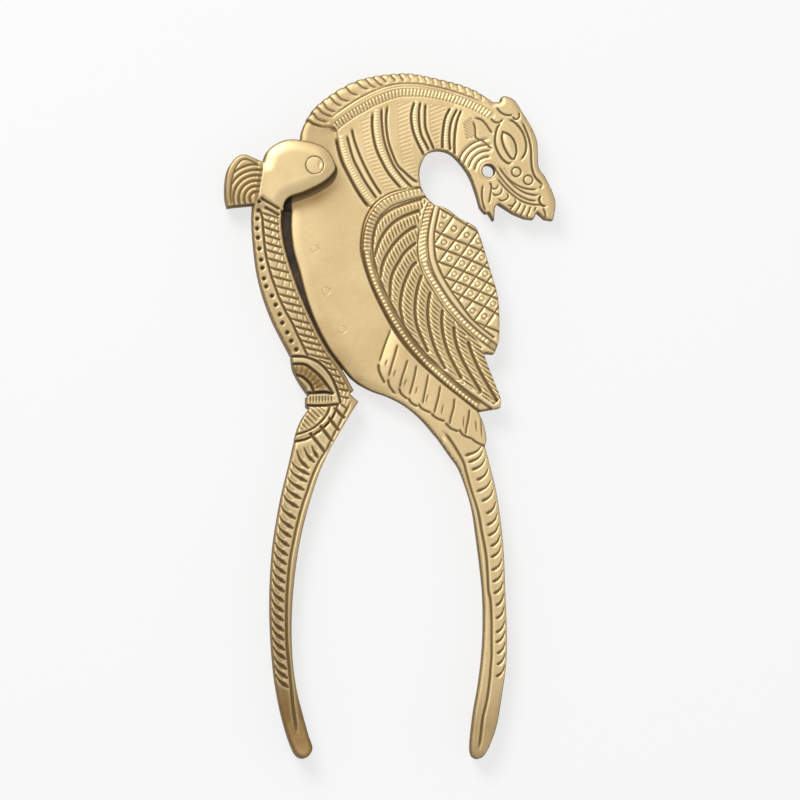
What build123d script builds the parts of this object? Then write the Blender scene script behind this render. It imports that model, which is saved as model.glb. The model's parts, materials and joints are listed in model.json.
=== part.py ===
"""Betel nut cutter: two cast brass levers on one hinge rivet, with a steel blade let into the bird's belly.

The cutter lies flat. +Z runs through its thickness, the handles point along -Y, and the bird looks to +X.
The origin is on the hinge axis, on the outer face of the back ear. Positive turns of the bird lever open it.
"""

import os

from build123d import *

os.makedirs("parts", exist_ok=True)

# Lengths and reaches, in millimetres
wing_reach = 49.5
crest_height = 24.7
jaw_length = 62.5
handle_length = 94.5

# Thicknesses through the cutter
tongue_thickness = 4.4
ear_thickness = 2.6
fan_thickness = 6.6
arm_thickness = 7.0
medallion_thickness = 7.6
handle_thickness = 5.8

# How far the bird's raised parts stand over its tongue and belly, on each face
neck_rise = 0.6
head_rise = 0.9
wing_rise = 1.5
fringe_rise = 0.8

# Hinge
tongue_radius = 7.6
rivet_diameter = 4.0
rivet_head_flare = 0.3
rivet_head_depth = 0.6
opening_angle = 45
stop_angle = 4

# Blade and its rivets
blade_thickness = 1.8
blade_seat = 8.0
blade_bite = 0.5
bevel_width = 1.9
cutting_land = 0.3
blade_rivet_diameter = 2.0
blade_rivet_margin = 2.4

# Hanging hole and worked edges
hanging_hole_diameter = 3.4
belly_slope_width = 3.6
belly_slope_drop = 0.8
ear_slope_width = 1.3
ear_slope_drop = 1.0
handle_slope_width = 1.3
handle_slope_drop = 1.0

# Clearances
pivot_gap = 0.05
side_gap = 0.12
swing_gap = 0.4
blade_gap = 0.3
groove_floor_gap = 1.0

# Rows and columns of the photograph that the lengths above are measured between
hinge_pixel = (313.4, 166.4)
wing_edge_pixel = 500.0
hanging_hole_pixel = (488.3, 170)
crest_pixel = 73.5
jaw_end_pixel = 402.0
tip_pixel = 758.0

# Outline of the bird lever, as places in the photograph, clockwise from its tongue
tongue_pixels = [(290, 192), (290, 184)]
mane_pixels = [
    (300, 141), (301.5, 131), (307, 119), (315.6, 107), (330, 95.4), (341.6, 88), (356, 81),
    (375, 76), (396, 73.5), (412, 73.5), (436, 78), (460, 84), (478, 91.5), (493, 101),
]
tuft_pixels = [(493, 101), (500, 100.5), (501.5, 96), (506, 95), (515, 99.5), (523, 112)]
forehead_pixels = [(523, 112), (530, 125), (536, 139), (536.5, 152), (537.5, 166), (544, 176), (551, 188)]
snout_pixels = [(551, 188), (555, 199), (555, 208), (553, 219)]
teeth_pixels = [(553, 219), (545, 217.5), (537, 210.5), (533.5, 218), (525, 217), (513, 212), (502, 205)]
mouth_pixels = [(502, 205), (498, 203), (494.5, 207)]
beard_pixels = [(494.5, 207), (493.5, 220), (484, 212), (480, 206)]
crook_pixels = [
    (480, 206), (476, 192), (470, 176), (462, 164), (451, 153), (439, 149.5), (428, 152.5), (421.5, 162),
    (419, 173), (420.5, 186), (426, 197), (434, 205),
]
wing_pixels = [
    (434, 205), (446, 208.5), (460, 218.5), (471, 224), (477, 230), (484, 250), (490, 270), (496, 290),
    (498.5, 308), (498.5, 338), (494, 353),
]
notch_pixels = [(494, 353), (483, 352), (487, 364)]
feather_tip_pixels = [(487, 364), (494, 382), (500, 398), (500, 407)]
fringe_side_pixels = [(478, 411), (483.5, 425), (486, 438), (484.5, 446)]
bird_handle_pixels = [
    (481, 438), (485.5, 450), (491, 470), (496, 491), (500.4, 520), (503.5, 552), (505, 590), (506.5, 630),
    (506, 662), (501.5, 695), (497, 722), (490, 743), (483, 755), (475, 757), (470, 748),
    (473, 715), (478.5, 683), (482, 654), (483.5, 625), (483, 594), (480, 563), (476, 532),
    (472.5, 509), (467, 489), (459, 468), (450, 455), (441, 436),
]
bird_handle_root_pixels = [(450, 422), (472, 424)]
belly_bottom_pixels = [(438, 438), (422, 419.5), (406, 406), (389, 397), (372, 391), (358, 384)]
blade_rivet_shares = {"upper": 0.74, "middle": 0.5, "lower": 0.27}
belly_bottom_slope_shares = [0, 0.3, 0.5, 0.7, 0.9, 1]
belly_edge_pixels = [
    (358, 384), (350, 377), (342, 367), (328, 348), (315, 323), (305.5, 297), (299, 272), (293, 251),
    (290.5, 230), (291, 202),
]

# Raised regions of the bird lever
neck_region_pixels = [
    (290, 117), (305, 121), (318, 128), (333, 129), (336, 138), (339, 154), (346, 173), (356, 190),
    (369, 207), (400, 215), (440, 230), (462, 228), (462, 60), (290, 60),
]
head_region_pixels = [(462, 60), (462, 240), (570, 240), (570, 60)]
wing_region_pixels = [
    (424, 186), (400, 190), (386, 195), (373, 205), (364, 222), (360.5, 245), (363, 262), (372, 288),
    (384, 313), (399, 339), (418, 361), (440, 381), (464, 400), (479, 412), (520, 412), (520, 232),
    (480, 226), (462, 212), (440, 200),
]
fringe_region_pixels = [
    (390, 328), (378, 362), (380, 377), (394, 393), (408, 399), (430, 413), (448, 427), (464, 436),
    (485, 446.5), (520, 446.5), (520, 328),
]

# Outline of the anvil lever, as places in the photograph: ears, fan, arm, medallion, handle and jaw
ear_pixels = [
    (259, 199.5), (257, 189), (261, 177), (262.5, 163), (267, 152), (277, 144.5), (288, 140.5),
    (302, 142), (318, 148.5), (330, 158), (334.5, 169), (329, 178), (316, 188), (302, 195),
    (288, 198.5), (281, 205),
]
ear_root_pixels = [(280, 212)]
fan_pixels = [
    (272, 163), (261, 162.5), (251, 158), (243, 155.5), (235, 159), (228, 169), (225, 182), (224.8, 198),
    (227, 209),
]
fan_foot_pixels = [(227, 209), (233, 208), (252.5, 206), (272, 200)]
arm_outer_pixels = [
    (252.5, 198), (252, 222), (253.5, 245), (257, 272), (263, 296), (272, 320), (282, 340), (291, 357),
]
medallion_outer_pixels = [(291, 357), (293, 370), (299, 382), (308.5, 396)]
collar_pixels = [(308.5, 396), (306, 397.5), (306, 407), (309, 409)]
leaf_pixels = [(309, 409), (302, 419), (297, 431), (294, 443)]
anvil_handle_pixels = [
    (294, 443), (289, 465), (281.5, 496), (276.5, 523), (272.5, 552), (270.3, 592), (270.7, 630),
    (273.5, 668), (277.5, 695), (283, 720), (290, 742), (297, 755), (306, 757), (312, 748),
    (308, 734), (302, 712), (296.5, 690), (292.5, 661), (291.3, 627), (292.7, 594.5),
    (296.3, 562), (301.5, 533), (309, 504), (319, 473), (331, 447),
]
anvil_handle_root_pixels = [(326, 430), (303, 430)]
arm_heel_pixels = [(331, 447), (346, 421), (357.6, 402)]
jaw_end_pixels = [(357.6, 402), (353, 391)]
jaw_edge_pixels = [
    (353, 391), (341, 370), (326, 350), (315, 330), (305, 309), (297, 290), (290, 270), (284, 250),
    (281, 232), (280, 212),
]
root_pixels = [(280, 212), (283, 200), (292, 170)]
medallion_region_pixels = [
    (280, 359), (306.5, 359.5), (322, 369), (332, 384), (337, 402), (331, 418), (316, 431), (297, 438),
    (280, 442),
]
arm_root_pixels = [(283, 200), (272, 186), (264, 186)]
slot_mouth_pixels = [(345, 100), (345, 212)]
groove_top_pixel = (281, 202)

tongue_slot = tongue_thickness + 2 * side_gap
fork_thickness = tongue_slot + 2 * ear_thickness
belly_rim = tongue_thickness / 2 - belly_slope_drop
rivet_head_diameter = rivet_diameter + 2 * rivet_head_flare
rivet_head_cones = [(-1, rivet_head_diameter, rivet_diameter), (1, rivet_diameter, rivet_head_diameter)]
groove_depth = blade_bite + groove_floor_gap
middle = Plane.XY.offset(fork_thickness / 2)


def spot(pixel):
    """Turn a place in the photograph into millimetres across and along from the hinge axis."""
    column, row = pixel
    across = (column - hinge_pixel[0]) * wing_reach / (wing_edge_pixel - hinge_pixel[0])
    if row < hinge_pixel[1]:
        along = (hinge_pixel[1] - row) * crest_height / (hinge_pixel[1] - crest_pixel)
    elif row < jaw_end_pixel:
        along = (hinge_pixel[1] - row) * jaw_length / (jaw_end_pixel - hinge_pixel[1])
    else:
        along = (jaw_end_pixel - row) * handle_length / (tip_pixel - jaw_end_pixel) - jaw_length
    return Vector(across, along)


def spots(pixels):
    """Turn a list of places in the photograph into points."""
    return [spot(pixel) for pixel in pixels]


def turned(point, angle):
    """Turn a point about the hinge axis."""
    return point.rotate(Axis.Z, angle)


def region(outline, pixels):
    """The part of a flat outline that lies inside a ring of places."""
    with BuildSketch(middle) as inside:
        add(outline)
        with BuildLine():
            Polyline(*spots(pixels), close=True)
        make_face(mode=Mode.INTERSECT)
    return inside.sketch


def edge_normal_shift(points, distance, shares=None):
    """Move each point of an edge to the right of its direction of travel, by a distance or shares of it."""
    moved = []
    for number, point in enumerate(points):
        before = points[max(number - 1, 0)]
        after = points[min(number + 1, len(points) - 1)]
        share = shares[number] if shares else 1
        moved.append(point + (after - before).normalized().rotate(Axis.Z, -90) * distance * share)
    return moved


def bird_section(height, slope_width):
    """The bird lever's flat outline at a height over the middle, its belly drawn in by a slope."""
    bottom = edge_normal_shift(spots(belly_bottom_pixels), slope_width, belly_bottom_slope_shares)
    edge = edge_normal_shift(spots(belly_edge_pixels), slope_width)
    edge[0] = bottom[-1]
    with BuildSketch(middle.offset(height)) as section:
        with BuildLine():
            Polyline(edge[-1], *spots(tongue_pixels), (0, 0), spot(mane_pixels[0]))
            Spline(*spots(mane_pixels))
            Spline(*spots(tuft_pixels))
            Spline(*spots(forehead_pixels))
            Spline(*spots(snout_pixels))
            Polyline(*spots(teeth_pixels))
            Spline(*spots(mouth_pixels))
            Polyline(*spots(beard_pixels))
            Spline(*spots(crook_pixels))
            Spline(*spots(wing_pixels))
            Polyline(*spots(notch_pixels))
            Spline(*spots(feather_tip_pixels))
            Line(spot(feather_tip_pixels[-1]), spot(fringe_side_pixels[0]))
            Spline(*spots(fringe_side_pixels))
            Line(spot(fringe_side_pixels[-1]), bottom[0])
            Spline(*bottom)
            Spline(*edge)
        make_face()
    return section.sketch


def sloped_section(path_pixels, root_pixels, height, inset):
    """The outline of a handle or of the ears at a height over the middle, drawn in but for its root."""
    path = edge_normal_shift(spots(path_pixels), inset)
    with BuildSketch(middle.offset(height)) as section:
        with BuildLine():
            Spline(*path)
            Polyline(path[-1], *spots(root_pixels), path[0])
        make_face()
    return section.sketch


def add_sloped(path_pixels, root_pixels, thickness, slope_width, slope_drop):
    """Add a handle, or the ears in one, to the open part, with rims that slope down on both faces."""
    rim_height = thickness / 2 - slope_drop
    extrude(sloped_section(path_pixels, root_pixels, 0, 0), amount=rim_height, both=True)
    for side in (-1, 1):
        rim = sloped_section(path_pixels, root_pixels, side * rim_height, 0)
        face = sloped_section(path_pixels, root_pixels, side * thickness / 2, slope_width)
        loft([rim, face], ruled=True)


bird_face = bird_section(0, 0)
belly_edge = spots(belly_edge_pixels)
jaw_edge = spots(jaw_edge_pixels)

# Flat outline of the blade, from its cutting edge in the jaw to its back in the belly
with BuildSketch(middle) as blade_outline:
    cutting_line = edge_normal_shift(jaw_edge[1:], -blade_bite)
    seat_line = edge_normal_shift(belly_edge[1:], blade_seat)
    with BuildLine():
        Spline(*cutting_line)
        Line(cutting_line[-1], seat_line[-1])
        Spline(*reversed(seat_line))
        Line(seat_line[0], cutting_line[0])
    make_face()

# The blade's rivets stand along the belly edge, in from the blade's back
with BuildLine() as rivet_line:
    Spline(*edge_normal_shift(belly_edge, blade_seat - blade_rivet_margin))
blade_rivet_spots = {name: rivet_line.line @ share for name, share in blade_rivet_shares.items()}

# Bird lever: belly, raised neck, head, wing, tail fringe and handle
with BuildPart() as bird_lever:
    loft([bird_section(belly_rim, 0), bird_section(tongue_thickness / 2, belly_slope_width)], ruled=True)
    mirror(about=middle)
    extrude(bird_face, amount=belly_rim, both=True)
    with Locations(middle):
        Cylinder(tongue_radius, tongue_thickness)
    extrude(region(bird_face, neck_region_pixels), amount=tongue_thickness / 2 + neck_rise, both=True)
    extrude(region(bird_face, head_region_pixels), amount=tongue_thickness / 2 + head_rise, both=True)
    extrude(region(bird_face, fringe_region_pixels), amount=tongue_thickness / 2 + fringe_rise, both=True)
    extrude(region(bird_face, wing_region_pixels), amount=tongue_thickness / 2 + wing_rise, both=True)
    add_sloped(
        bird_handle_pixels, bird_handle_root_pixels,
        handle_thickness, handle_slope_width, handle_slope_drop,
    )
    extrude(blade_outline.sketch, amount=blade_thickness / 2, both=True, mode=Mode.SUBTRACT)
    with Locations(middle):
        Cylinder(rivet_diameter / 2 + pivot_gap, fork_thickness, mode=Mode.SUBTRACT)
    with Locations(*[middle.from_local_coords(place) for place in blade_rivet_spots.values()]):
        Cylinder(blade_rivet_diameter / 2, fork_thickness, mode=Mode.SUBTRACT)
    with Locations(middle.from_local_coords(spot(hanging_hole_pixel))):
        Cylinder(hanging_hole_diameter / 2, fork_thickness, mode=Mode.SUBTRACT)
bird_lever.part.label = "bird_lever"
export_step(bird_lever.part, "parts/bird_lever.step")

# Steel blade, ground on both sides down to a narrow cutting edge
with BuildPart() as cutting_blade:
    extrude(blade_outline.sketch, amount=blade_thickness / 2, both=True)
    on_cutting_line = middle.from_local_coords(cutting_line[len(cutting_line) // 2])
    cutting_side = cutting_blade.faces().sort_by_distance(on_cutting_line)[0]
    cutting_rims = cutting_side.edges().filter_by(GeomType.BSPLINE)
    chamfer(
        cutting_rims,
        length=(blade_thickness - cutting_land) / 2,
        length2=bevel_width,
        reference=cutting_side,
    )
    with Locations(*[middle.from_local_coords(place) for place in blade_rivet_spots.values()]):
        Cylinder(blade_rivet_diameter / 2, fork_thickness, mode=Mode.SUBTRACT)
cutting_blade.part.label = "cutting_blade"
export_step(cutting_blade.part, "parts/cutting_blade.step")

# Flush rivets that hold the blade
for name, place in blade_rivet_spots.items():
    with BuildPart() as blade_rivet:
        with Locations(middle.from_local_coords(place)):
            Cylinder(blade_rivet_diameter / 2, tongue_thickness)
    blade_rivet.part.label = "blade_rivet_" + name
    export_step(blade_rivet.part, "parts/blade_rivet_" + name + ".step")

# Flat outlines of the anvil lever's fan and arm
with BuildSketch(middle) as fan_outline:
    with BuildLine():
        Spline(*spots(fan_pixels))
        Polyline(*spots(fan_foot_pixels), spot(fan_pixels[0]))
    make_face()

with BuildSketch(middle) as anvil_outline:
    with BuildLine():
        Spline(*spots(arm_outer_pixels))
        Spline(*spots(medallion_outer_pixels))
        Polyline(*spots(collar_pixels))
        Spline(*spots(leaf_pixels))
        Line(spot(leaf_pixels[-1]), spot(arm_heel_pixels[0]))
        Spline(*spots(arm_heel_pixels))
        Line(spot(jaw_end_pixels[0]), jaw_edge[0])
        Spline(*jaw_edge)
        Polyline(jaw_edge[-1], *spots(arm_root_pixels), spot(arm_outer_pixels[0]))
    make_face()

# Room between the ears for the tongue and the neck to turn, up to the open stop
stop_line = [turned(point, opening_angle + stop_angle) for point in spots(mane_pixels[:4])]
with BuildSketch(middle) as fork_slot:
    with BuildLine():
        Polyline(*spots(root_pixels), (0, 0), stop_line[0])
        Spline(*stop_line)
        Polyline(stop_line[-1], *spots(slot_mouth_pixels), spot(root_pixels[0]))
    make_face()
    Circle(tongue_radius + swing_gap)

# Groove along the jaw that the cutting edge closes into
groove_line = jaw_edge + [spot(groove_top_pixel)]
with BuildSketch(middle) as jaw_groove:
    floor_line = edge_normal_shift(groove_line, -groove_depth)
    open_line = edge_normal_shift(groove_line, groove_depth)
    with BuildLine():
        Spline(*floor_line)
        Line(floor_line[-1], open_line[-1])
        Spline(*reversed(open_line))
        Line(open_line[0], floor_line[0])
    make_face()

# Anvil lever: ears, fan, grooved arm, medallion and handle
with BuildPart() as anvil_lever:
    add_sloped(ear_pixels, ear_root_pixels, fork_thickness, ear_slope_width, ear_slope_drop)
    extrude(fan_outline.sketch, amount=fan_thickness / 2, both=True)
    extrude(anvil_outline.sketch, amount=arm_thickness / 2, both=True)
    add_sloped(
        anvil_handle_pixels, anvil_handle_root_pixels,
        handle_thickness, -handle_slope_width, handle_slope_drop,
    )
    extrude(region(anvil_outline.sketch, medallion_region_pixels), amount=medallion_thickness / 2, both=True)
    extrude(fork_slot.sketch, amount=tongue_slot / 2, both=True, mode=Mode.SUBTRACT)
    extrude(jaw_groove.sketch, amount=blade_thickness / 2 + blade_gap, both=True, mode=Mode.SUBTRACT)
    with Locations(middle):
        Cylinder(rivet_diameter / 2, fork_thickness, mode=Mode.SUBTRACT)
        for side, bottom_diameter, top_diameter in rivet_head_cones:
            with Locations((0, 0, side * (fork_thickness - rivet_head_depth) / 2)):
                Cone(bottom_diameter / 2, top_diameter / 2, rivet_head_depth, mode=Mode.SUBTRACT)
anvil_lever.part.label = "anvil_lever"
export_step(anvil_lever.part, "parts/anvil_lever.step")

# Hinge rivet, peened into the countersinks of both ears
with BuildPart() as pivot_rivet:
    with Locations(middle):
        Cylinder(rivet_diameter / 2, fork_thickness)
        for side, bottom_diameter, top_diameter in rivet_head_cones:
            with Locations((0, 0, side * (fork_thickness - rivet_head_depth) / 2)):
                Cone(bottom_diameter / 2, top_diameter / 2, rivet_head_depth)
pivot_rivet.part.label = "pivot_rivet"
export_step(pivot_rivet.part, "parts/pivot_rivet.step")
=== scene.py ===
"""Looks of the betel nut cutter: two chased brass levers, a let-in steel blade and peened rivets.

The carving is drawn in columns and rows of the photograph and turned into metres about the hinge.
Widths along the drawing are in those pixels; half thicknesses and depths of cut are in millimetres.
"""
import json
import math

import bpy
import numpy as np
from mathutils import Matrix, Vector


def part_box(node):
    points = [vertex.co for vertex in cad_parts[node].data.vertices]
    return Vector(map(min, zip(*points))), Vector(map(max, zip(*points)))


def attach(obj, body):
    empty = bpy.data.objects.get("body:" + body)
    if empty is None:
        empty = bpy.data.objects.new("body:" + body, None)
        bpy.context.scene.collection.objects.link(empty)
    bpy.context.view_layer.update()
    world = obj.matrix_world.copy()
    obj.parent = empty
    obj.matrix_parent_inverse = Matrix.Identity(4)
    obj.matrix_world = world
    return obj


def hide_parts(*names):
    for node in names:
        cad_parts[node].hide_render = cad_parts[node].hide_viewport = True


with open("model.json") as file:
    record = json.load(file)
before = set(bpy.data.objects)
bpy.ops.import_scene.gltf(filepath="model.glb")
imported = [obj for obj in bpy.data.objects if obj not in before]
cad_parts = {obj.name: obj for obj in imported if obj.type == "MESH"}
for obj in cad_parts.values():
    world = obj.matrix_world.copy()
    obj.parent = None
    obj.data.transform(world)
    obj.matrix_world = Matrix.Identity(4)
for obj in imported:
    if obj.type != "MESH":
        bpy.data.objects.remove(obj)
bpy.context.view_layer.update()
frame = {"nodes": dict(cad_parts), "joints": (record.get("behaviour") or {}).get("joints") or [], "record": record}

millimetre = 0.001

# Places in the photograph that tie its pixels to the frame, and the place that the camera looks at
hinge_pixel = np.array([313.4, 166.4])
hanging_hole_pixel = np.array([488.3, 170.0])
view_centre_pixel = np.array([399.3, 400.2])

mounts = {mount["name"]: mount for mount in frame["record"]["mounts"]}
hinge_place = Vector(frame["joints"][0]["pos_m"])
hanging_hole_place = Vector(mounts["hanging_hole"]["pos_m"])
pixel_size = hanging_hole_place.x / (hanging_hole_pixel[0] - hinge_pixel[0])
middle_height = hinge_place.z

# Radii of the bores and rivets, in pixels
hanging_hole_radius = mounts["hanging_hole"]["dims"]["r_mm"] * millimetre / pixel_size
tongue_bore_radius = 2.05 * millimetre / pixel_size
ear_bore_radius = 2.3 * millimetre / pixel_size
pivot_radius = 2.27 * millimetre / pixel_size
blade_rivet_radius = 1.0 * millimetre / pixel_size

# Spacing of the sheet of spots that carries the carving, in pixels
sheet_pitch = 0.75
row_share = math.sqrt(3) / 2

# Shares of the pitch within which spots are drawn onto the outlines and onto the lines to be cut
outline_pull_share = 0.5
line_pull_share = 0.45

# Smallest triangle of the sheet, as a share of the pitch's square
least_area_share = 0.04

# Half thicknesses of the castings' levels, in millimetres from the middle
tongue_half = 2.2
neck_half = 2.8
head_half = 3.1
fringe_half = 2.85
wing_half = 3.7
handle_half = 2.9
arm_half = 3.5
medallion_half = 3.8
fan_half = 3.3
ear_half = 4.92

# Room inside the castings, in half millimetres through the thickness
ear_slot_half = 2.32
jaw_groove_half = 1.2
blade_slot_half = 0.92
jaw_groove_depth = 5.65

# Rounding of the castings' edges: width in pixels, drop in millimetres and the painted shade of a dark line along
# the rim
outline_rounding = (2.2, 0.4, 0.16)
hanging_hole_rounding = (1.6, 0.25, 0.1)
tongue_bore_rounding = (1.0, 0.1, 0)
rivet_hole_rounding = (0.5, 0.0, 0)
ear_bore_rounding = (0.9, 0.05, 0.1)

# What the finish reads of the carving: reaches in pixels, and the values on the side walls, which paint them
# darker as painted shade
near_reach = 2.6
wide_reach = 8.0
stain_reach = 5.0
rim_reach = 0.8
level_share = 0.2
painted_wall_shade = {"recess_and_shade": 0.14, "basin_and_shade": 0.06, "stain_and_shade": 0.5}

# The side walls' lips, in millimetres below the face, and their least height as a share of the face's
lip_drop = 0.35
lip_least_share = 0.3


def smooth(points, step=0.9):
    """A smooth line through given points, with a point about every step pixels."""
    points = np.array(points, float)
    padded = np.vstack([2 * points[0] - points[1], points, 2 * points[-1] - points[-2]])
    pieces = []
    for before, start, end, after in zip(padded[:-3], padded[1:-2], padded[2:-1], padded[3:]):
        count = max(1, int(np.ceil(np.linalg.norm(end - start) / step)))
        share = np.linspace(0, 1, count, endpoint=False)[:, None]
        bend = 2 * before - 5 * start + 4 * end - after
        twist = 3 * start - before - 3 * end + after
        pieces.append(start + (end - before) * share / 2 + bend * share**2 / 2 + twist * share**3 / 2)
    pieces.append(points[-1:])
    return np.vstack(pieces)


def straight(*points):
    """A line of straight runs."""
    return np.array(points, float)


def circle(centre, radius, start=0, turn=360):
    """A ring, or an arc of one, with its angles in degrees clockwise from the right."""
    count = max(8, int(radius * abs(turn) / 40))
    angles = np.radians(np.linspace(start, start + turn, count + 1))
    return np.array(centre) + radius * np.column_stack([np.cos(angles), np.sin(angles)])


def shifted(line, distance):
    """A line moved to the right of its direction of travel."""
    heading = np.gradient(line, axis=0)
    heading /= np.linalg.norm(heading, axis=1)[:, None]
    return line + distance * np.column_stack([-heading[:, 1], heading[:, 0]])


def scalloped(line, ends, depth):
    """A line that bulges between the places on it nearest to some ends and dips at each of them."""
    places = sorted(np.linalg.norm(line - end, axis=1).argmin() for end in ends)
    step = np.arange(len(line))
    number = np.clip(np.searchsorted(places, step, "right") - 1, 0, len(places) - 2)
    first, last = np.array(places)[number], np.array(places)[number + 1]
    share = np.clip((step - first) / (last - first), 0, 1)
    fullness = 0.6
    bulge = depth * (np.sin(np.pi * share) ** fullness - 0.5)
    bulge[(step < places[0]) | (step > places[-1])] = 0
    heading = np.gradient(line, axis=0)
    heading /= np.linalg.norm(heading, axis=1)[:, None]
    return line + bulge[:, None] * np.column_stack([heading[:, 1], -heading[:, 0]])


def lengthened(line, before, after):
    """A line run on straight past both of its ends."""
    start = line[0] + before * (line[0] - line[1]) / np.linalg.norm(line[0] - line[1])
    end = line[-1] + after * (line[-1] - line[-2]) / np.linalg.norm(line[-1] - line[-2])
    return np.vstack([start, line, end])


def closed(ring):
    """A ring with its first point again at its end."""
    return np.vstack([ring, ring[:1]])


def at_row(line, row):
    """The place where a line that runs down the picture crosses a row."""
    order = line[:, 1].argsort()
    return np.array([np.interp(row, line[order, 1], line[order, 0]), row])


def at_share(line, share):
    """The place at a share of a line's length."""
    lengths = np.linalg.norm(np.diff(line, axis=0), axis=1)
    reached = np.concatenate([[0], np.cumsum(lengths)]) / lengths.sum()
    return np.array([np.interp(share, reached, line[:, 0]), np.interp(share, reached, line[:, 1])])


def is_inside(spots, ring):
    """Which spots lie inside a closed ring."""
    within = np.zeros(len(spots), bool)
    columns, rows = spots.T
    for start, end in zip(ring, np.roll(ring, -1, axis=0)):
        spans = np.flatnonzero((start[1] > rows) != (end[1] > rows))
        slope = (end[0] - start[0]) / (end[1] - start[1]) if len(spans) else 0
        within[spans] ^= columns[spans] < slope * (rows[spans] - start[1]) + start[0]
    return within


class Nearby:
    """The spots within reach of a line, and for each of them the nearest place on the line."""

    segments_at_once = 16

    def __init__(self, spots, line, reach):
        starts = line[:-1]
        runs = line[1:] - starts
        lengths = np.linalg.norm(runs, axis=1)
        begun = np.cumsum(lengths) - lengths
        boxed = ((spots >= line.min(0) - reach) & (spots <= line.max(0) + reach)).all(1)
        picked = np.flatnonzero(boxed)
        local = spots[picked]
        gap = np.full(len(picked), np.inf)
        along = np.zeros(len(picked))
        across = np.zeros(len(picked))
        foot = local.copy()
        for first in range(0, len(starts), self.segments_at_once):
            part = slice(first, first + self.segments_at_once)
            start, run, length = starts[part], runs[part], np.maximum(lengths[part], 1e-9)
            low = np.minimum(start, start + run).min(0) - reach
            high = np.maximum(start, start + run).max(0) + reach
            close = np.flatnonzero(((local >= low) & (local <= high)).all(1))
            offset = local[close][:, None] - start
            share = np.clip((offset * run).sum(2) / length**2, 0, 1)
            apart = offset - share[..., None] * run
            distance = np.linalg.norm(apart, axis=2)
            best = distance.argmin(1)
            rows = np.arange(len(close))
            better = distance[rows, best] < gap[close]
            rows, best, close = rows[better], best[better], close[better]
            gap[close] = distance[rows, best]
            along[close] = begun[part][best] + share[rows, best] * length[best]
            turn = run[best, 0] * offset[rows, best, 1] - run[best, 1] * offset[rows, best, 0]
            across[close] = np.sign(turn) * distance[rows, best]
            foot[close] = local[close] - apart[rows, best]
        reached = gap <= reach
        self.index = picked[reached]
        self.gap = gap[reached]
        self.along = along[reached]
        self.across = across[reached]
        self.foot = foot[reached]
        self.length = lengths.sum()


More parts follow.
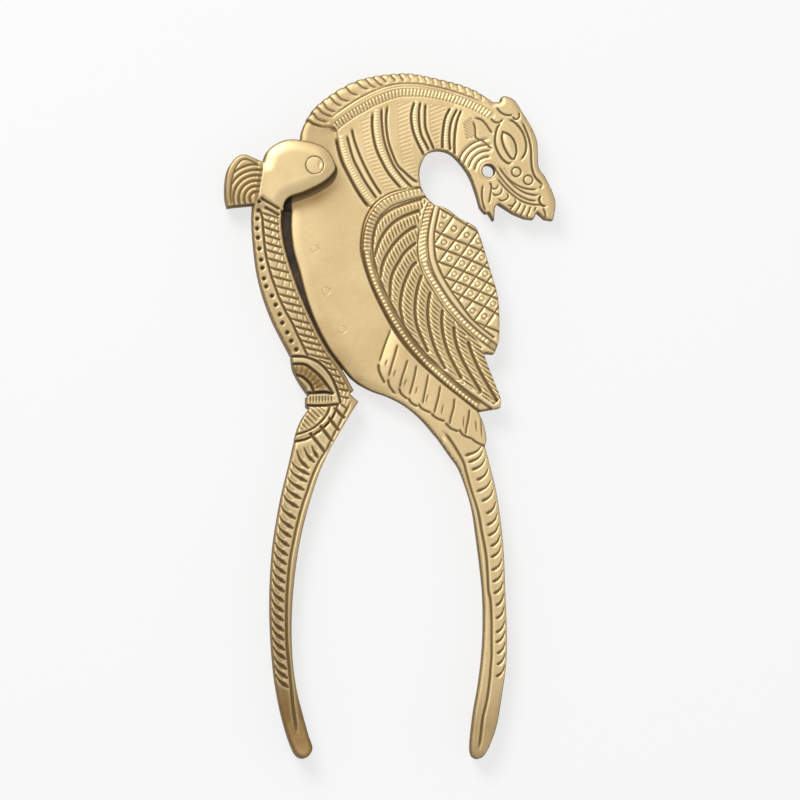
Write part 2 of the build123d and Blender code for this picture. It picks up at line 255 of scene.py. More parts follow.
class Casting:
    """One cast lever: a sheet of spots inside its outline, carved alike on its front and its back."""

    channel_side_width = 2.4
    bar_flatness = 1.9
    bead_fullness = 0.7
    stroke_sharpness = 1.3

    def __init__(self, outline, holes, crisp_lines):
        self.rings = [closed(outline)] + holes
        low = outline.min(0) - 2 * sheet_pitch
        high = outline.max(0) + 2 * sheet_pitch
        row_count = int((high[1] - low[1]) / (sheet_pitch * row_share)) + 1
        column_count = int((high[0] - low[0]) / sheet_pitch) + 1
        self.grid_shape = (row_count, column_count)
        row, column = np.mgrid[0:row_count, 0:column_count]
        spots = np.column_stack([
            low[0] + (column + row % 2 / 2).ravel() * sheet_pitch,
            low[1] + row.ravel() * sheet_pitch * row_share,
        ])
        moved, used = self.drawn_to_lines(spots, crisp_lines)
        triangles = self.net()
        triangles = self.trimmed(triangles[used[triangles].all(1)], spots, moved)
        names, renumbered = np.unique(triangles, return_inverse=True)
        self.spots = moved[names]
        self.triangles = renumbered.reshape(triangles.shape)
        self.cells = names
        self.base = np.zeros(len(names))
        self.cut = np.zeros(len(names))
        self.rise = np.zeros(len(names))
        self.stain_and_shade = np.zeros(len(names))
        self.soot_and_shade = np.zeros(len(names))
        self.room = np.zeros(len(self.triangles))

    def drawn_to_lines(self, spots, crisp_lines):
        """The spots, with those beside a ring or a crisp line moved onto it, and which of them are used."""
        used = self.solid_at(spots)
        fixed = np.zeros(len(spots), bool)
        moved = spots.copy()
        for ring in self.rings:
            near = Nearby(spots, ring, outline_pull_share * sheet_pitch)
            moved[near.index] = near.foot
            used[near.index] = True
            fixed[near.index] = True
        for line in crisp_lines:
            near = Nearby(spots, line, line_pull_share * sheet_pitch)
            free = ~fixed[near.index]
            moved[near.index[free]] = near.foot[free]
            fixed[near.index[free]] = True
        return moved, used

    def trimmed(self, triangles, spots, moved):
        """The triangles that lie in the metal, without slivers, all turned the same way."""
        touching = 1e-4
        on_ring = np.zeros(len(spots), bool)
        for ring in self.rings:
            on_ring[Nearby(moved, ring, touching).index] = True
        bordering = on_ring[triangles].all(1)
        kept = ~bordering
        kept[bordering] = self.solid_at(spots[triangles].mean(1)[bordering])
        corner = moved[triangles]
        area = np.cross(corner[:, 1] - corner[:, 0], corner[:, 2] - corner[:, 0])
        kept &= np.abs(area) > least_area_share * sheet_pitch**2
        triangles = triangles[kept]
        flipped = area[kept] > 0
        triangles[flipped] = triangles[flipped][:, ::-1]
        return triangles

    def solid_at(self, spots):
        """Which spots lie in the metal, outside the holes."""
        solid = is_inside(spots, self.rings[0])
        for hole in self.rings[1:]:
            solid &= ~is_inside(spots, hole)
        return solid

    def net(self):
        """Triangles over a sheet whose odd rows stand half a pitch to the right."""
        row_count, column_count = self.grid_shape
        row, column = np.mgrid[0:row_count - 1, 0:column_count - 1]
        row, column = row.ravel(), column.ravel()
        here = row * column_count + column
        below = here + column_count
        even = row % 2 == 0
        first = np.column_stack([here, here + 1, below])
        second = np.column_stack([below, here + 1, below + 1])
        first[~even] = np.column_stack([below, here, below + 1])[~even]
        second[~even] = np.column_stack([here, here + 1, below + 1])[~even]
        return np.vstack([first, second])

    def within(self, ring):
        """Which spots lie inside a ring."""
        return is_inside(self.spots, ring)

    def lay_out(self, half, levels, falls, tones, soot_and_shade):
        """Give the sheet its half thickness, its levels and rounded edges, its browning and its soot, both of
        which also carry painted shade.
        """
        self.base[:] = half
        for level in levels:
            self.level(*level)
        for fall in falls:
            self.fall(*fall)
        for tone in tones:
            self.tone(*tone)
        for patch in soot_and_shade:
            self.fill_soot_and_shade(*patch)

    def level(self, ring, half, shoulder):
        """Bring a region up, or down, to a half thickness over a shoulder inside its ring."""
        near = Nearby(self.spots, closed(ring), shoulder)
        share = self.within(ring).astype(float)
        edge = share[near.index] > 0
        turn = near.gap[edge] / shoulder
        share[near.index[edge]] = turn * (2 - turn)
        self.base += share * (half - self.base)

    def fall(self, line, width, drop, power=2):
        """Round the surface down towards a line, by a drop at the line itself."""
        near = Nearby(self.spots, line, width)
        self.base[near.index] -= drop * (1 - near.gap / width) ** power

    def groove(self, line, width, depth, taper=0, only=None, swell=None):
        """Cut a groove along a line; a taper, as a share of its length, lets it run out at its ends.

        A swell gives shares of the length and the groove's width there, as shares of its full width.
        """
        near = Nearby(self.spots, line, width / 2)
        wide = width
        if swell:
            wide = width * np.interp(near.along / near.length, *swell)
        strength = 0.5 + 0.5 * np.cos(np.pi * np.clip(2 * near.gap / wide, 0, 1))
        if swell:
            strength *= np.sqrt(wide / width)
        if taper:
            from_end = np.minimum(near.along, near.length - near.along)
            strength *= np.clip(from_end / (taper * near.length), 0, 1)
        if only is not None:
            strength *= only[near.index]
        self.cut[near.index] = np.maximum(self.cut[near.index], depth * strength)

    def ink(self, line, width, strength):
        """Leave soot along a line, thinning to nothing at its sides."""
        near = Nearby(self.spots, line, width / 2)
        held = strength * (1 - 2 * near.gap / width)
        self.soot_and_shade[near.index] = np.maximum(self.soot_and_shade[near.index], held)

    def cut_all(self, cuts, only=None):
        """Cut the grooves of a table whose rows hold lines, a width, a depth and a taper."""
        for lines, width, depth, taper in cuts:
            for line in lines:
                self.groove(line, width, depth, taper, only)

    def channel(self, line, width, depth, only=None):
        """Sink a flat-bottomed channel along a line."""
        near = Nearby(self.spots, line, width / 2)
        strength = np.clip((1 - 2 * near.gap / width) * width / self.channel_side_width, 0, 1)
        if only is not None:
            strength *= only[near.index]
        self.cut[near.index] = np.maximum(self.cut[near.index], depth * strength)

    def beads(self, line, width, pitch, height, lean=0, only=None, bars=False):
        """Raise a row of beads or cross bars along a line, each as long as the pitch, leaning by a slope."""
        near = Nearby(self.spots, line, width / 2)
        count = max(1, round(near.length / pitch))
        phase = (near.along + lean * near.across) * count / near.length
        across = np.cos(np.pi * near.across / width)
        if bars:
            across = np.clip(self.bar_flatness * across, 0, 1)
        strength = np.abs(np.sin(np.pi * phase)) * across
        if only is not None:
            strength *= only[near.index]
        self.rise[near.index] = np.maximum(self.rise[near.index], height * strength**self.bead_fullness)

    def strokes(self, line, width, pitch, depth, heading, only):
        """Cut strokes across a band about a line; heading gives their angle below the row, in degrees."""
        near = Nearby(self.spots, line, width)
        keep = only[near.index]
        index, across, along = near.index[keep], near.across[keep], near.along[keep]
        run = np.diff(line, axis=0)
        begun = np.concatenate([[0], np.cumsum(np.linalg.norm(run, axis=1))])
        travel = np.unwrap(np.arctan2(*np.gradient(line, axis=0).T[::-1]))
        stroke = np.radians(heading(*line.T))
        rate = np.sin(travel - stroke) / pitch
        count = np.concatenate([[0], np.cumsum((rate[1:] + rate[:-1]) / 2 * np.diff(begun))])
        apart = np.interp(along, begun, travel - stroke)
        phase = np.interp(along, begun, count) + across * np.cos(apart) / pitch
        strength = (0.5 + 0.5 * np.cos(2 * np.pi * phase)) ** self.stroke_sharpness
        self.cut[index] = np.maximum(self.cut[index], depth * strength)

    def dimple(self, centre, radius, depth):
        """Punch a round dimple."""
        gap = np.linalg.norm(self.spots - np.array(centre), axis=1)
        near = gap < radius
        self.cut[near] = np.maximum(self.cut[near], depth * (0.5 + 0.5 * np.cos(np.pi * gap[near] / radius)))

    def tone(self, ring, rows, strengths):
        """Leave a region browner, by strengths at some rows of the photograph and even changes between; some
        regions are painted shade.
        """
        inside = self.within(ring)
        self.stain_and_shade[inside] = np.interp(self.spots[inside, 1], rows, strengths)

    def fill_soot_and_shade(self, ring, strength):
        """Fill a region with soot, or with painted shade for the regions that stand for shadow, as a depth of cut
        that would hold as much.
        """
        self.soot_and_shade[self.within(ring)] = strength

    def hollow(self, ring, room):
        """Leave room about the middle of the thickness inside a ring."""
        centres = self.spots[self.triangles].mean(1)
        self.room[is_inside(centres, ring)] = room

    def spread(self, values, reach):
        """The mean of a value over the spots around each spot, out to about reach pixels."""
        rows, columns = self.grid_shape
        total = np.zeros(rows * columns)
        weight = np.zeros(rows * columns)
        total[self.cells] = values
        weight[self.cells] = 1
        total, weight = total.reshape(rows, columns), weight.reshape(rows, columns)
        for axis, spacing in ((0, sheet_pitch * row_share), (1, sheet_pitch)):
            half = max(1, round(reach / spacing))
            for turn in range(2):
                total, weight = self.box_sum(total, half, axis), self.box_sum(weight, half, axis)
        return (total / np.maximum(weight, 1e-9)).ravel()[self.cells]

    def box_sum(self, grid, half, axis):
        """Sums over 2 * half + 1 neighbours along one axis of a grid."""
        pad = [(0, 0), (0, 0)]
        pad[axis] = (half + 1, half)
        sums = np.cumsum(np.pad(grid, pad), axis)
        count = grid.shape[axis]
        far = np.take(sums, range(2 * half + 1, 2 * half + 1 + count), axis)
        return far - np.take(sums, range(count), axis)

    def marks(self):
        """What the finish reads at each spot: how far it lies below its surroundings, and its stain, both with
        painted shade added from the soot and tone tables.
        """
        carved = self.rise - self.cut + level_share * self.base
        return {
            "recess_and_shade": self.spread(carved, near_reach) - carved + self.soot_and_shade,
            "basin_and_shade": self.spread(carved, wide_reach) - carved + self.soot_and_shade,
            "stain_and_shade": self.spread(self.stain_and_shade, stain_reach),
        }

    def edges(self):
        """The triangles' edges in order, the room beside each, and the places where the next is its twin."""
        corners = np.vstack([self.triangles[:, [0, 1]], self.triangles[:, [1, 2]], self.triangles[:, [2, 0]]])
        owner = np.tile(np.arange(len(self.triangles)), 3)
        key = corners.min(1) * len(self.spots) + corners.max(1)
        order = key.argsort(kind="stable")
        key, corners, owner = key[order], corners[order], owner[order]
        return corners, self.room[owner], np.flatnonzero(key[1:] == key[:-1])

    def walls(self, numbers, rooms):
        """Walls round the rim and at the rooms' borders; numbers gives the first point of each level."""
        corners, room_beside, twin = self.edges()
        faces = []

        def wall(edges, top, bottom):
            start, end = edges.T
            one, two = numbers[top], numbers[bottom]
            faces.append(np.column_stack([start + two, end + two, end + one]))
            faces.append(np.column_stack([start + two, end + one, start + one]))

        alone = np.ones(len(corners), bool)
        alone[twin] = False
        alone[twin + 1] = False
        rim, rim_room = corners[alone], room_beside[alone]
        solid_rim = rim[rim_room == 0]
        wall(solid_rim, "front", "front lip")
        wall(solid_rim, "front lip", "back lip")
        wall(solid_rim, "back lip", "back")
        for room in rooms:
            open_rim = rim[rim_room == room]
            wall(open_rim, "front", ("ceiling", room))
            wall(open_rim, ("floor", room), "back")
        for first, second in ((twin, twin + 1), (twin + 1, twin)):
            low, high = room_beside[first], room_beside[second]
            for room in rooms:
                wall(corners[first][(low == 0) & (high == room)], ("ceiling", room), ("floor", room))
                for wider in rooms:
                    step = corners[first][(low == room) & (high == wider) & (room < wider)]
                    wall(step, ("ceiling", wider), ("ceiling", room))
                    wall(step, ("floor", room), ("floor", wider))
        return faces

    def mesh(self, name, roundings):
        """Turn the sheet into a closed mesh: carved faces front and back, walls, and the inner rooms.

        The roundings, one for each ring, give a width in pixels, a drop in millimetres and the painted shade of a
        dark line there.
        """
        marks = self.marks()
        for ring, (width, drop, rim_shade) in zip(self.rings, roundings):
            self.fall(ring, width, drop)
            # Painted shade: a dark line along each ring's rim
            marks["recess_and_shade"][Nearby(self.spots, ring, rim_reach).index] += rim_shade
        height = self.base + self.rise - self.cut
        lip = np.maximum(height - lip_drop, lip_least_share * height)
        rooms = sorted(set(self.room) - {0})
        levels = {"front": height, "back": -height}
        for room in rooms:
            levels["ceiling", room] = np.full(len(height), room)
            levels["floor", room] = np.full(len(height), -room)
        levels["front lip"] = lip
        levels["back lip"] = -lip
        count = len(self.spots)
        numbers = {level: count * place for place, level in enumerate(levels)}
        places = np.vstack([np.column_stack([self.spots, heights]) for heights in levels.values()])
        faces = [self.triangles + numbers["front"], self.triangles[:, ::-1] + numbers["back"]]
        for room in rooms:
            open_here = self.triangles[self.room == room]
            faces.append(open_here[:, ::-1] + numbers["ceiling", room])
            faces.append(open_here + numbers["floor", room])
        faces = np.vstack(faces + self.walls(numbers, rooms))
        names, renumbered = np.unique(faces, return_inverse=True)
        places, owners = places[names], names % count
        lips = [numbers["front lip"] // count, numbers["back lip"] // count]
        on_wall = np.isin(names // count, lips)
        piece = new_piece(name, metres_of(places[:, :2], places[:, 2]), renumbered.reshape(faces.shape))
        for label, values in marks.items():
            layer = piece.data.attributes.new(label, "FLOAT", "POINT")
            # Painted shade: every side wall gets the same dark values
            shown = np.where(on_wall, painted_wall_shade[label], values[owners])
            layer.data.foreach_set("value", shown.astype(np.float32))
        return piece


def metres_of(spots, height):
    """Places in the frame, from places in the photograph and heights over the middle in millimetres."""
    across, along = ((spots - hinge_pixel) * pixel_size).T
    return np.column_stack([across, -along, middle_height + height * millimetre])


def new_piece(name, places, faces):
    """A smooth-shaded mesh object from places in metres and triangles, in the scene."""
    mesh = bpy.data.meshes.new(name)
    mesh.vertices.add(len(places))
    mesh.vertices.foreach_set("co", places.astype(np.float32).ravel())
    mesh.loops.add(faces.size)
    mesh.loops.foreach_set("vertex_index", faces.astype(np.int32).ravel())
    mesh.polygons.add(len(faces))
    width = faces.shape[1]
    mesh.polygons.foreach_set("loop_start", np.arange(0, faces.size, width, dtype=np.int32))
    mesh.polygons.foreach_set("loop_total", np.full(len(faces), width, dtype=np.int32))
    mesh.update(calc_edges=True)
    mesh.validate()
    mesh.shade_smooth()
    piece = bpy.data.objects.new(name, mesh)
    bpy.context.scene.collection.objects.link(piece)
    return piece


# Grooves between the lobes of the mane's crest, from the outline inwards
mane_lobe_lines = [
    smooth([(302, 121), (308, 121), (313, 124.5), (322, 127)]),
    smooth([(308, 113), (313, 114.5), (318, 120), (329, 123)]),
    smooth([(313, 106), (317.5, 108.5), (323, 114), (334, 118)]),
    smooth([(318, 100), (322.5, 103), (327.5, 109.5), (337, 113)]),
    smooth([(325, 95), (330, 98), (335, 103.5), (343, 107)]),
    smooth([(332, 90), (336, 94), (341, 99.5), (351, 102)]),
    smooth([(342, 85), (346, 88), (350.5, 93), (359, 96)]),
    smooth([(353, 80), (357, 83), (362, 87.5), (370, 89.5)]),
    smooth([(363, 77), (366.5, 81), (371, 86), (378, 88)]),
    smooth([(371, 75), (374, 79), (379.5, 84.5), (385, 86)]),
    smooth([(379, 73), (382, 78), (387, 83)]),
    smooth([(388, 72), (391, 76), (396, 82)]),
    smooth([(397, 71), (400, 76), (404, 82)]),
    smooth([(406, 71), (409, 77), (412, 82)]),
    smooth([(415, 72), (417.5, 77), (420, 82)]),
    smooth([(423, 74), (425, 79), (427, 84)]),
    smooth([(431, 75), (433, 80.5), (435, 85)]),
    smooth([(440, 76.5), (441, 82), (443, 87)]),
    smooth([(448, 79), (449, 84.5), (451, 90)]),
    smooth([(456, 81), (457, 86), (459, 92)]),
    smooth([(464, 84), (465, 89), (467, 95)]),
    smooth([(472, 86), (473, 92), (475, 98)]),
    smooth([(480, 90), (481, 95), (482, 101)]),
]

# Outline of the bird lever; a small heel under the ear closes the gap behind the jaw and is blackened as painted
# shade
belly_bottom = smooth([(438, 438), (422, 419.5), (406, 406), (389, 397), (372, 391), (358, 384)])
belly_edge = smooth([
    (358, 384), (350, 377), (342, 367), (328, 348), (315, 323), (305.5, 297), (299, 272), (293, 251),
    (290.5, 230), (290.8, 211.5),
])
tongue_heel = straight((290.8, 211.5), (281.3, 211.2), (282.9, 203), (285.6, 195), (289, 186))
tongue_edge = smooth([(289, 186), (288, 180), (285.2, 172), (285.3, 160), (290.5, 149), (300, 141)])
mane_edge = smooth([
    (300, 141), (301.5, 131), (307, 119), (315.6, 107), (330, 95.4), (341.6, 88), (356, 81),
    (375, 76), (396, 73.5), (412, 73.5), (436, 78), (460, 84), (478, 91.5), (493, 101),
])
mane_edge = scalloped(mane_edge, [line[0] for line in mane_lobe_lines], 1.1)
tuft_edge = smooth([(493, 101), (500, 100.5), (501.5, 96), (506, 95), (515, 99.5), (523, 112)])
forehead_edge = smooth([
    (523, 112), (531, 125), (536.8, 139), (537.8, 152), (538.8, 166), (545, 175.5), (551.5, 188),
])
snout_edge = smooth([(551.5, 188), (555.2, 199), (555.2, 208), (553, 219)])
teeth_edge = straight(
    (553, 219), (545, 217.5), (537, 210.5), (533.5, 218), (525, 217), (513, 212), (502, 205),
)
mouth_edge = smooth([(502, 205), (498, 203), (494.5, 207)])
beard_edge = straight(
    (494.5, 207), (493.6, 220), (491.5, 216.5), (488.5, 212), (485.5, 212.5), (482.5, 209.5), (480, 206),
)
crook_edge = smooth([
    (480, 206), (476, 192), (470, 176), (462, 164), (451, 153), (439, 149.5), (428, 152.5),
    (421.5, 162), (419, 173), (420.5, 186), (426, 197), (434, 205),
])
wing_edge = smooth([
    (434, 205), (446, 208.5), (460, 218.5), (471, 224), (477, 230), (484, 250), (490, 270),
    (496, 290), (498.5, 308), (498.5, 338), (494, 353),
])
notch_edge = straight((494, 353), (483, 352), (487, 364))
feather_tip_edge = smooth([(487, 364), (494, 382), (500, 398), (500, 407)])
fringe_side_edge = smooth([(478, 411), (483.5, 425), (486, 438), (484.5, 446)])
bird_handle_edge = smooth([
    (484.5, 446), (486, 451), (491, 470), (496, 491), (500.4, 520), (503.5, 552), (505, 590),
    (506.5, 630), (506, 662), (501.5, 695), (497, 722), (490, 743), (483, 755), (475, 757),
    (470, 748), (473, 715), (478.5, 683), (482, 654), (483.5, 625), (483, 594), (480, 563),
    (476, 532), (472.5, 509), (467, 489), (459, 468), (450, 455), (438, 438),
])
bird_outline = np.vstack([
    belly_bottom[:-1], belly_edge[:-1], tongue_heel[:-1], tongue_edge[:-1], mane_edge[:-1], tuft_edge[:-1],
    forehead_edge[:-1], snout_edge[:-1], teeth_edge[:-1], mouth_edge[:-1], beard_edge[:-1],
    crook_edge[:-1], wing_edge[:-1], notch_edge[:-1], feather_tip_edge, fringe_side_edge[:-1],
    bird_handle_edge[:-1],
])

# Regions of the bird lever that stand at levels of their own
neck_rim = smooth([
    (296, 117), (305, 121), (318, 127), (333, 129), (336, 138), (339, 154), (346, 173), (356, 190),
    (369, 207),
])
neck_region = np.vstack([neck_rim, straight((400, 215), (440, 230), (478, 214), (478, 60), (290, 60))])
head_region = straight((455, 60), (448, 240), (570, 240), (570, 60))
wing_rim = smooth([
    (436, 190), (420, 187), (400, 190), (386, 195), (373, 205), (364, 222), (360.5, 245), (363, 262),
    (372, 288), (384, 313), (399, 339), (418, 361), (440, 381), (464, 400), (479, 412),
])
wing_region = np.vstack([wing_rim, straight((520, 412), (520, 232), (480, 226), (462, 212), (440, 200))])
fringe_rim = np.vstack([
    smooth([(390, 328), (383, 346), (378, 362), (378.5, 371), (381, 378), (386, 384)]),
    smooth([
        (386, 384), (394, 393), (401, 393.5), (408, 399), (416, 406), (424, 409), (430, 413), (433, 417),
        (441, 420), (449, 427), (459, 431), (465, 437), (472, 438), (478, 442), (485, 446.5),
    ]),
])
fringe_region = np.vstack([fringe_rim, straight((520, 446.5), (520, 328))])
tongue_plate = straight((285, 110), (334, 110), (340, 160), (352, 190), (350, 212), (285, 212))
fringe_below_wing = np.vstack([fringe_rim, shifted(wing_rim, 2)[::-1][:140]])
handle_region = straight((380, 400), (470, 340), (540, 340), (540, 780), (400, 780))

# Carving of the mane: a plain band, fine lines and a rope inside the lobes
crest_line = smooth([
    (329, 121), (337, 113), (348, 105), (360, 97.5), (373, 91), (388, 85.5), (403, 83), (420, 83.5),
    (440, 87), (458, 92), (474, 98), (488, 105),
])
rope_line = smooth([
    (334, 128.5), (338, 124.5), (346, 118.5), (355, 112.5), (364, 107.5), (372, 103), (381, 99),
    (390, 95.5), (400, 93), (412, 92.3), (424, 92.8), (436, 94.5), (448, 97), (460, 100.5), (472, 105),
    (482, 109.5), (490, 114),
])

# Carving of the neck: pairs and threes of lines from the rope down to the crook and the wing
neck_lines = [
    smooth([(335.5, 138), (338, 150), (342, 163), (348, 175), (355, 188), (362, 199), (369, 208)]),
    smooth([(346, 135), (349, 147), (353, 160), (358, 170), (364, 181), (370, 190), (377, 200)]),
    smooth([(351, 128), (353, 138), (357, 150), (362, 162), (368, 174), (375, 186), (382, 196)]),
    smooth([
        (372, 112), (371.5, 125), (373, 138), (376, 150), (381, 161), (387, 172), (394, 181), (402, 190),
    ]),
    smooth([
        (381, 107), (381, 118), (382, 130), (384, 142), (388, 154), (393, 165), (400, 175), (408, 184),
        (414, 189),
    ]),
    smooth([
        (387, 105), (385.5, 118), (386, 130), (388, 142), (392, 154), (397, 165), (404, 172), (412, 179),
        (419, 183),
    ]),
    smooth([(414, 101), (411, 112), (411, 122), (413, 132), (417, 142), (421, 150), (424, 156)]),
    smooth([(420, 101), (418.5, 112), (419, 125), (421, 135), (425, 143), (429, 151)]),
    smooth([(425, 103), (424.5, 115), (425, 127), (428, 136), (431, 143), (434, 150)]),
    smooth([(450, 107), (445, 117), (443, 127), (442, 138), (442, 149)]),
    smooth([(457, 108), (452, 118), (449.5, 128), (449, 140), (450, 151)]),
    smooth([(461, 109), (457, 119), (455, 129), (454, 140), (454, 155)]),
]
neck_cells = [
    (2, 3, straight((358, 110), (374, 110), (378, 150), (400, 196), (388, 196), (366, 160))),
    (5, 6, straight((396, 96), (412, 96), (411, 150), (420, 186), (404, 170), (398, 140))),
    (8, 9, straight((428, 96), (446, 96), (444, 152), (432, 152))),
]
neck_bead_pairs = [(0, 1), (3, 4), (6, 7), (9, 10)]

# Carving of the head: the eye, the cheek's folds, the lips, the teeth and the beard
eye_outer_lines = [
    smooth([
        (501.5, 121), (497, 127), (495, 135), (494.8, 143), (497.5, 151), (502, 158), (508, 162.5),
        (513, 161),
    ]),
    smooth([(507, 118), (514, 121), (520.5, 128), (524.5, 136), (526, 145), (524.5, 153), (520, 160)]),
]
eye_lines = [
    smooth([(502.5, 131), (501.5, 137), (503, 144), (506.5, 151.5), (511, 157.5), (514, 158)]),
    smooth([(502.5, 131), (508.5, 133.5), (513, 138.5), (515.5, 145), (516, 152), (514, 158)]),
]
eyeball = np.vstack([eye_lines[0], eye_lines[1][::-1]])
brow_line = smooth([
    (521, 119), (525.5, 129), (529, 139), (530.8, 149), (531, 159), (532, 168), (535, 176), (541, 182.5),
    (543, 187),
])
head_lines = [
    smooth([(494, 166), (500, 176), (508, 185.5), (518, 194), (529, 199), (540, 200)]),
    smooth([(497, 164), (504, 174), (513, 184), (523, 191), (533, 194), (541, 193.5)]),
    smooth([(501, 170), (508, 178), (517, 184.5), (527, 188), (538, 188.5)]),
    smooth([(495, 175), (502, 184), (511, 193), (521, 200), (532, 203.5), (541, 204), (548, 206)]),
    smooth([(489, 181), (491, 186), (490, 194), (488.5, 203)]),
    smooth([(482.5, 184), (481.5, 193), (482.5, 203), (485.5, 211)]),
    smooth([(496, 106), (500, 111), (506, 114), (513, 114)]),
    smooth([(512, 115), (515, 118.5), (519, 116), (518.5, 111)]),
    smooth([(490, 117), (494, 121), (499, 121.5), (503, 118)]),
    smooth([(472, 119), (474.5, 127), (475.5, 137), (482, 140), (488, 145), (492.7, 149.7)]),
    smooth([(474, 117), (481, 119), (486, 124), (490, 130), (493, 133)]),
]
curl_lines = [
    smooth([(490, 184), (492.5, 188), (496.5, 187.5), (498, 183.5)]),
    smooth([(491, 192), (495, 194.5), (500.5, 192.5), (501.5, 187)]),
    smooth([(497, 198), (502, 200), (507.5, 197), (507, 191)]),
    smooth([(507, 204), (511, 205), (515.5, 201.5), (514.5, 196)]),
]
cheek_lines = [
    circle((488.3, 170), 14, 175, 105),
    circle((488.3, 170), 20, 183, 98),
    circle((488.3, 170), 26, 186, 92),
    circle((488.3, 170), 31.5, 188, 84),
]
hatch_patches = [
    (straight((463, 122), (471, 116), (476, 137), (466, 139)), straight((463, 114), (463, 142)), 30),
    (straight((499, 168), (504, 167), (518, 186), (514, 188)), straight((496, 163), (520, 190)), 62),
]
snout_rings = [(516, 171), (528, 179)]
snout_dot = (540.6, 186)
nostril = (545.2, 199)
nostril_line = circle(nostril, 6.2, 80, 150)
tooth_lines = [
    smooth([(515.5, 200), (513, 205), (509.5, 209)]),
    smooth([(520.5, 202), (518, 207.5), (514.5, 212)]),
    smooth([(525.5, 204), (523, 210), (520, 215)]),
    smooth([(530.5, 205.5), (528.5, 211), (526, 216.5)]),
    smooth([(536, 206), (534, 210)]),
    smooth([(543, 207), (545, 213), (545, 217)]),
]

# Carving of the wing
wing_beads = smooth([
    (425, 191), (410, 194), (400, 197), (390, 200.8), (381.5, 206.5), (374, 215.5), (369, 228),
    (366.8, 240), (366.5, 251), (368, 262), (370.6, 272), (374, 282.5), (378.5, 292.5), (383.5, 302.4),
    (388.8, 312.7), (394.2, 322), (400, 331), (407, 341), (415.5, 351.5), (425, 362), (435.5, 372),
    (446.5, 382), (458, 392), (468.5, 400), (477, 406),
])
feather_lines = [
    smooth([(423, 198), (410, 202), (400, 205.5), (390, 210), (381, 217), (375, 226), (371.5, 238)]),
    smooth([(420, 210), (409, 214), (400, 218), (392, 223.5), (385, 231), (379, 241), (375, 252)]),
    smooth([(417, 226), (410, 229), (402, 235), (395, 242), (389, 250), (384, 259), (381, 268), (379, 280)]),
    smooth([(417, 242), (410, 247), (403, 254), (398, 262), (393, 271), (390, 281), (389, 296)]),
    smooth([(417, 261), (411, 267), (407, 275), (403, 285), (400.5, 296), (399.5, 308), (402, 323)]),
    smooth([(422, 273), (418.5, 282), (416, 292), (414.5, 303), (414.5, 315), (417, 328), (425, 347)]),
    smooth([(430, 290), (428, 300), (427, 312), (428, 325), (431, 338), (435.5, 351), (442, 364)]),
    smooth([(442, 308), (441, 320), (442, 332), (445, 345), (450, 358), (458, 373)]),
    smooth([(453, 325), (454, 336), (457, 348), (462, 360), (468.5, 372), (477, 386)]),
    smooth([(467, 340), (470.5, 351), (475, 362), (481, 374), (488, 386), (495, 398)]),
]
second_beads = smooth([
    (430, 206), (426.5, 215), (424.5, 226), (422.5, 238), (422, 247), (422.6, 256), (425.5, 267),
    (429.5, 276), (435, 285), (441, 294.3), (447, 303.5), (454, 311.6), (461.5, 320), (470, 328.2),
    (479, 336), (488, 342.5),
])
inner_rim_lines = [
    smooth([
        (432.5, 208), (430, 219), (427.6, 232), (427, 245), (428, 257), (431, 268), (435.3, 278),
        (441, 288), (447, 297), (453.3, 305.5), (460.6, 314.7), (468.8, 323), (478, 331.2), (486.5, 337.5),
    ]),
    smooth([
        (438.5, 209), (435.5, 222), (433.6, 234), (433.6, 246), (434.9, 258), (439, 270), (444.2, 280.3),
        (451, 291.4), (458.2, 301.6), (465.4, 311.6), (472, 319.6), (481, 327.5), (493, 337),
    ]),
]
wing_inner_band = shifted(lengthened(wing_beads, 3, 12), -5.6)
wing_tip_line = smooth([(480, 345), (484, 357), (488, 366), (494, 382), (500, 398)])
lattice_corners = straight((520, 330), (520, 200), (440, 200))
lattice_region = np.vstack([inner_rim_lines[1], lattice_corners])
lattice_falling = [
    straight((425, 200), (452, 216), (478, 232), (500, 246)),
    straight((420, 225), (436, 232), (452, 239), (468, 245), (485, 252), (505, 260)),
    straight((420, 241), (436, 247), (455, 254), (470, 260), (488, 268), (510, 278)),
    straight((420, 255), (438, 262), (455, 268), (472, 275), (492, 285), (512, 295)),
    straight((430, 272), (446, 278), (462, 284), (478, 291), (498, 299), (515, 307)),
    straight((440, 287), (455, 293), (470, 300), (485, 307), (497, 314), (512, 322)),
    straight((455, 314), (470, 320), (485, 326), (495, 330), (510, 337)),
]
lattice_rising = [
    straight((430, 249), (441, 233), (452, 217), (460, 205)),
    straight((435, 266), (447, 250), (465, 226), (474, 214)),
    straight((438, 287), (450, 270), (464, 250), (478, 230), (486, 219)),
    straight((440, 303), (450, 289), (462, 273), (473, 258), (484, 244), (490, 236)),
    straight((450, 311), (460, 297), (470, 284), (480, 270), (489, 259), (496, 250)),
    straight((455, 323), (465, 309), (477, 295), (486, 282), (493, 273), (500, 264)),
    straight((465, 332), (475, 318), (486, 303), (496, 289), (503, 279)),
    straight((477, 338), (487, 323), (497, 308), (503, 299)),
]

# Rows of the photograph where the cross bars of the wing's two borders give way to round beads
wing_bars_end_row = 252
second_bars_end_row = 262

# Rings in the lattice's scales: two given at its top, the rest where there is room beside the rim
extra_scale_rings = [(444, 215.5), (441, 225.5)]
ring_region = np.vstack([shifted(inner_rim_lines[1], -5.4), lattice_corners])

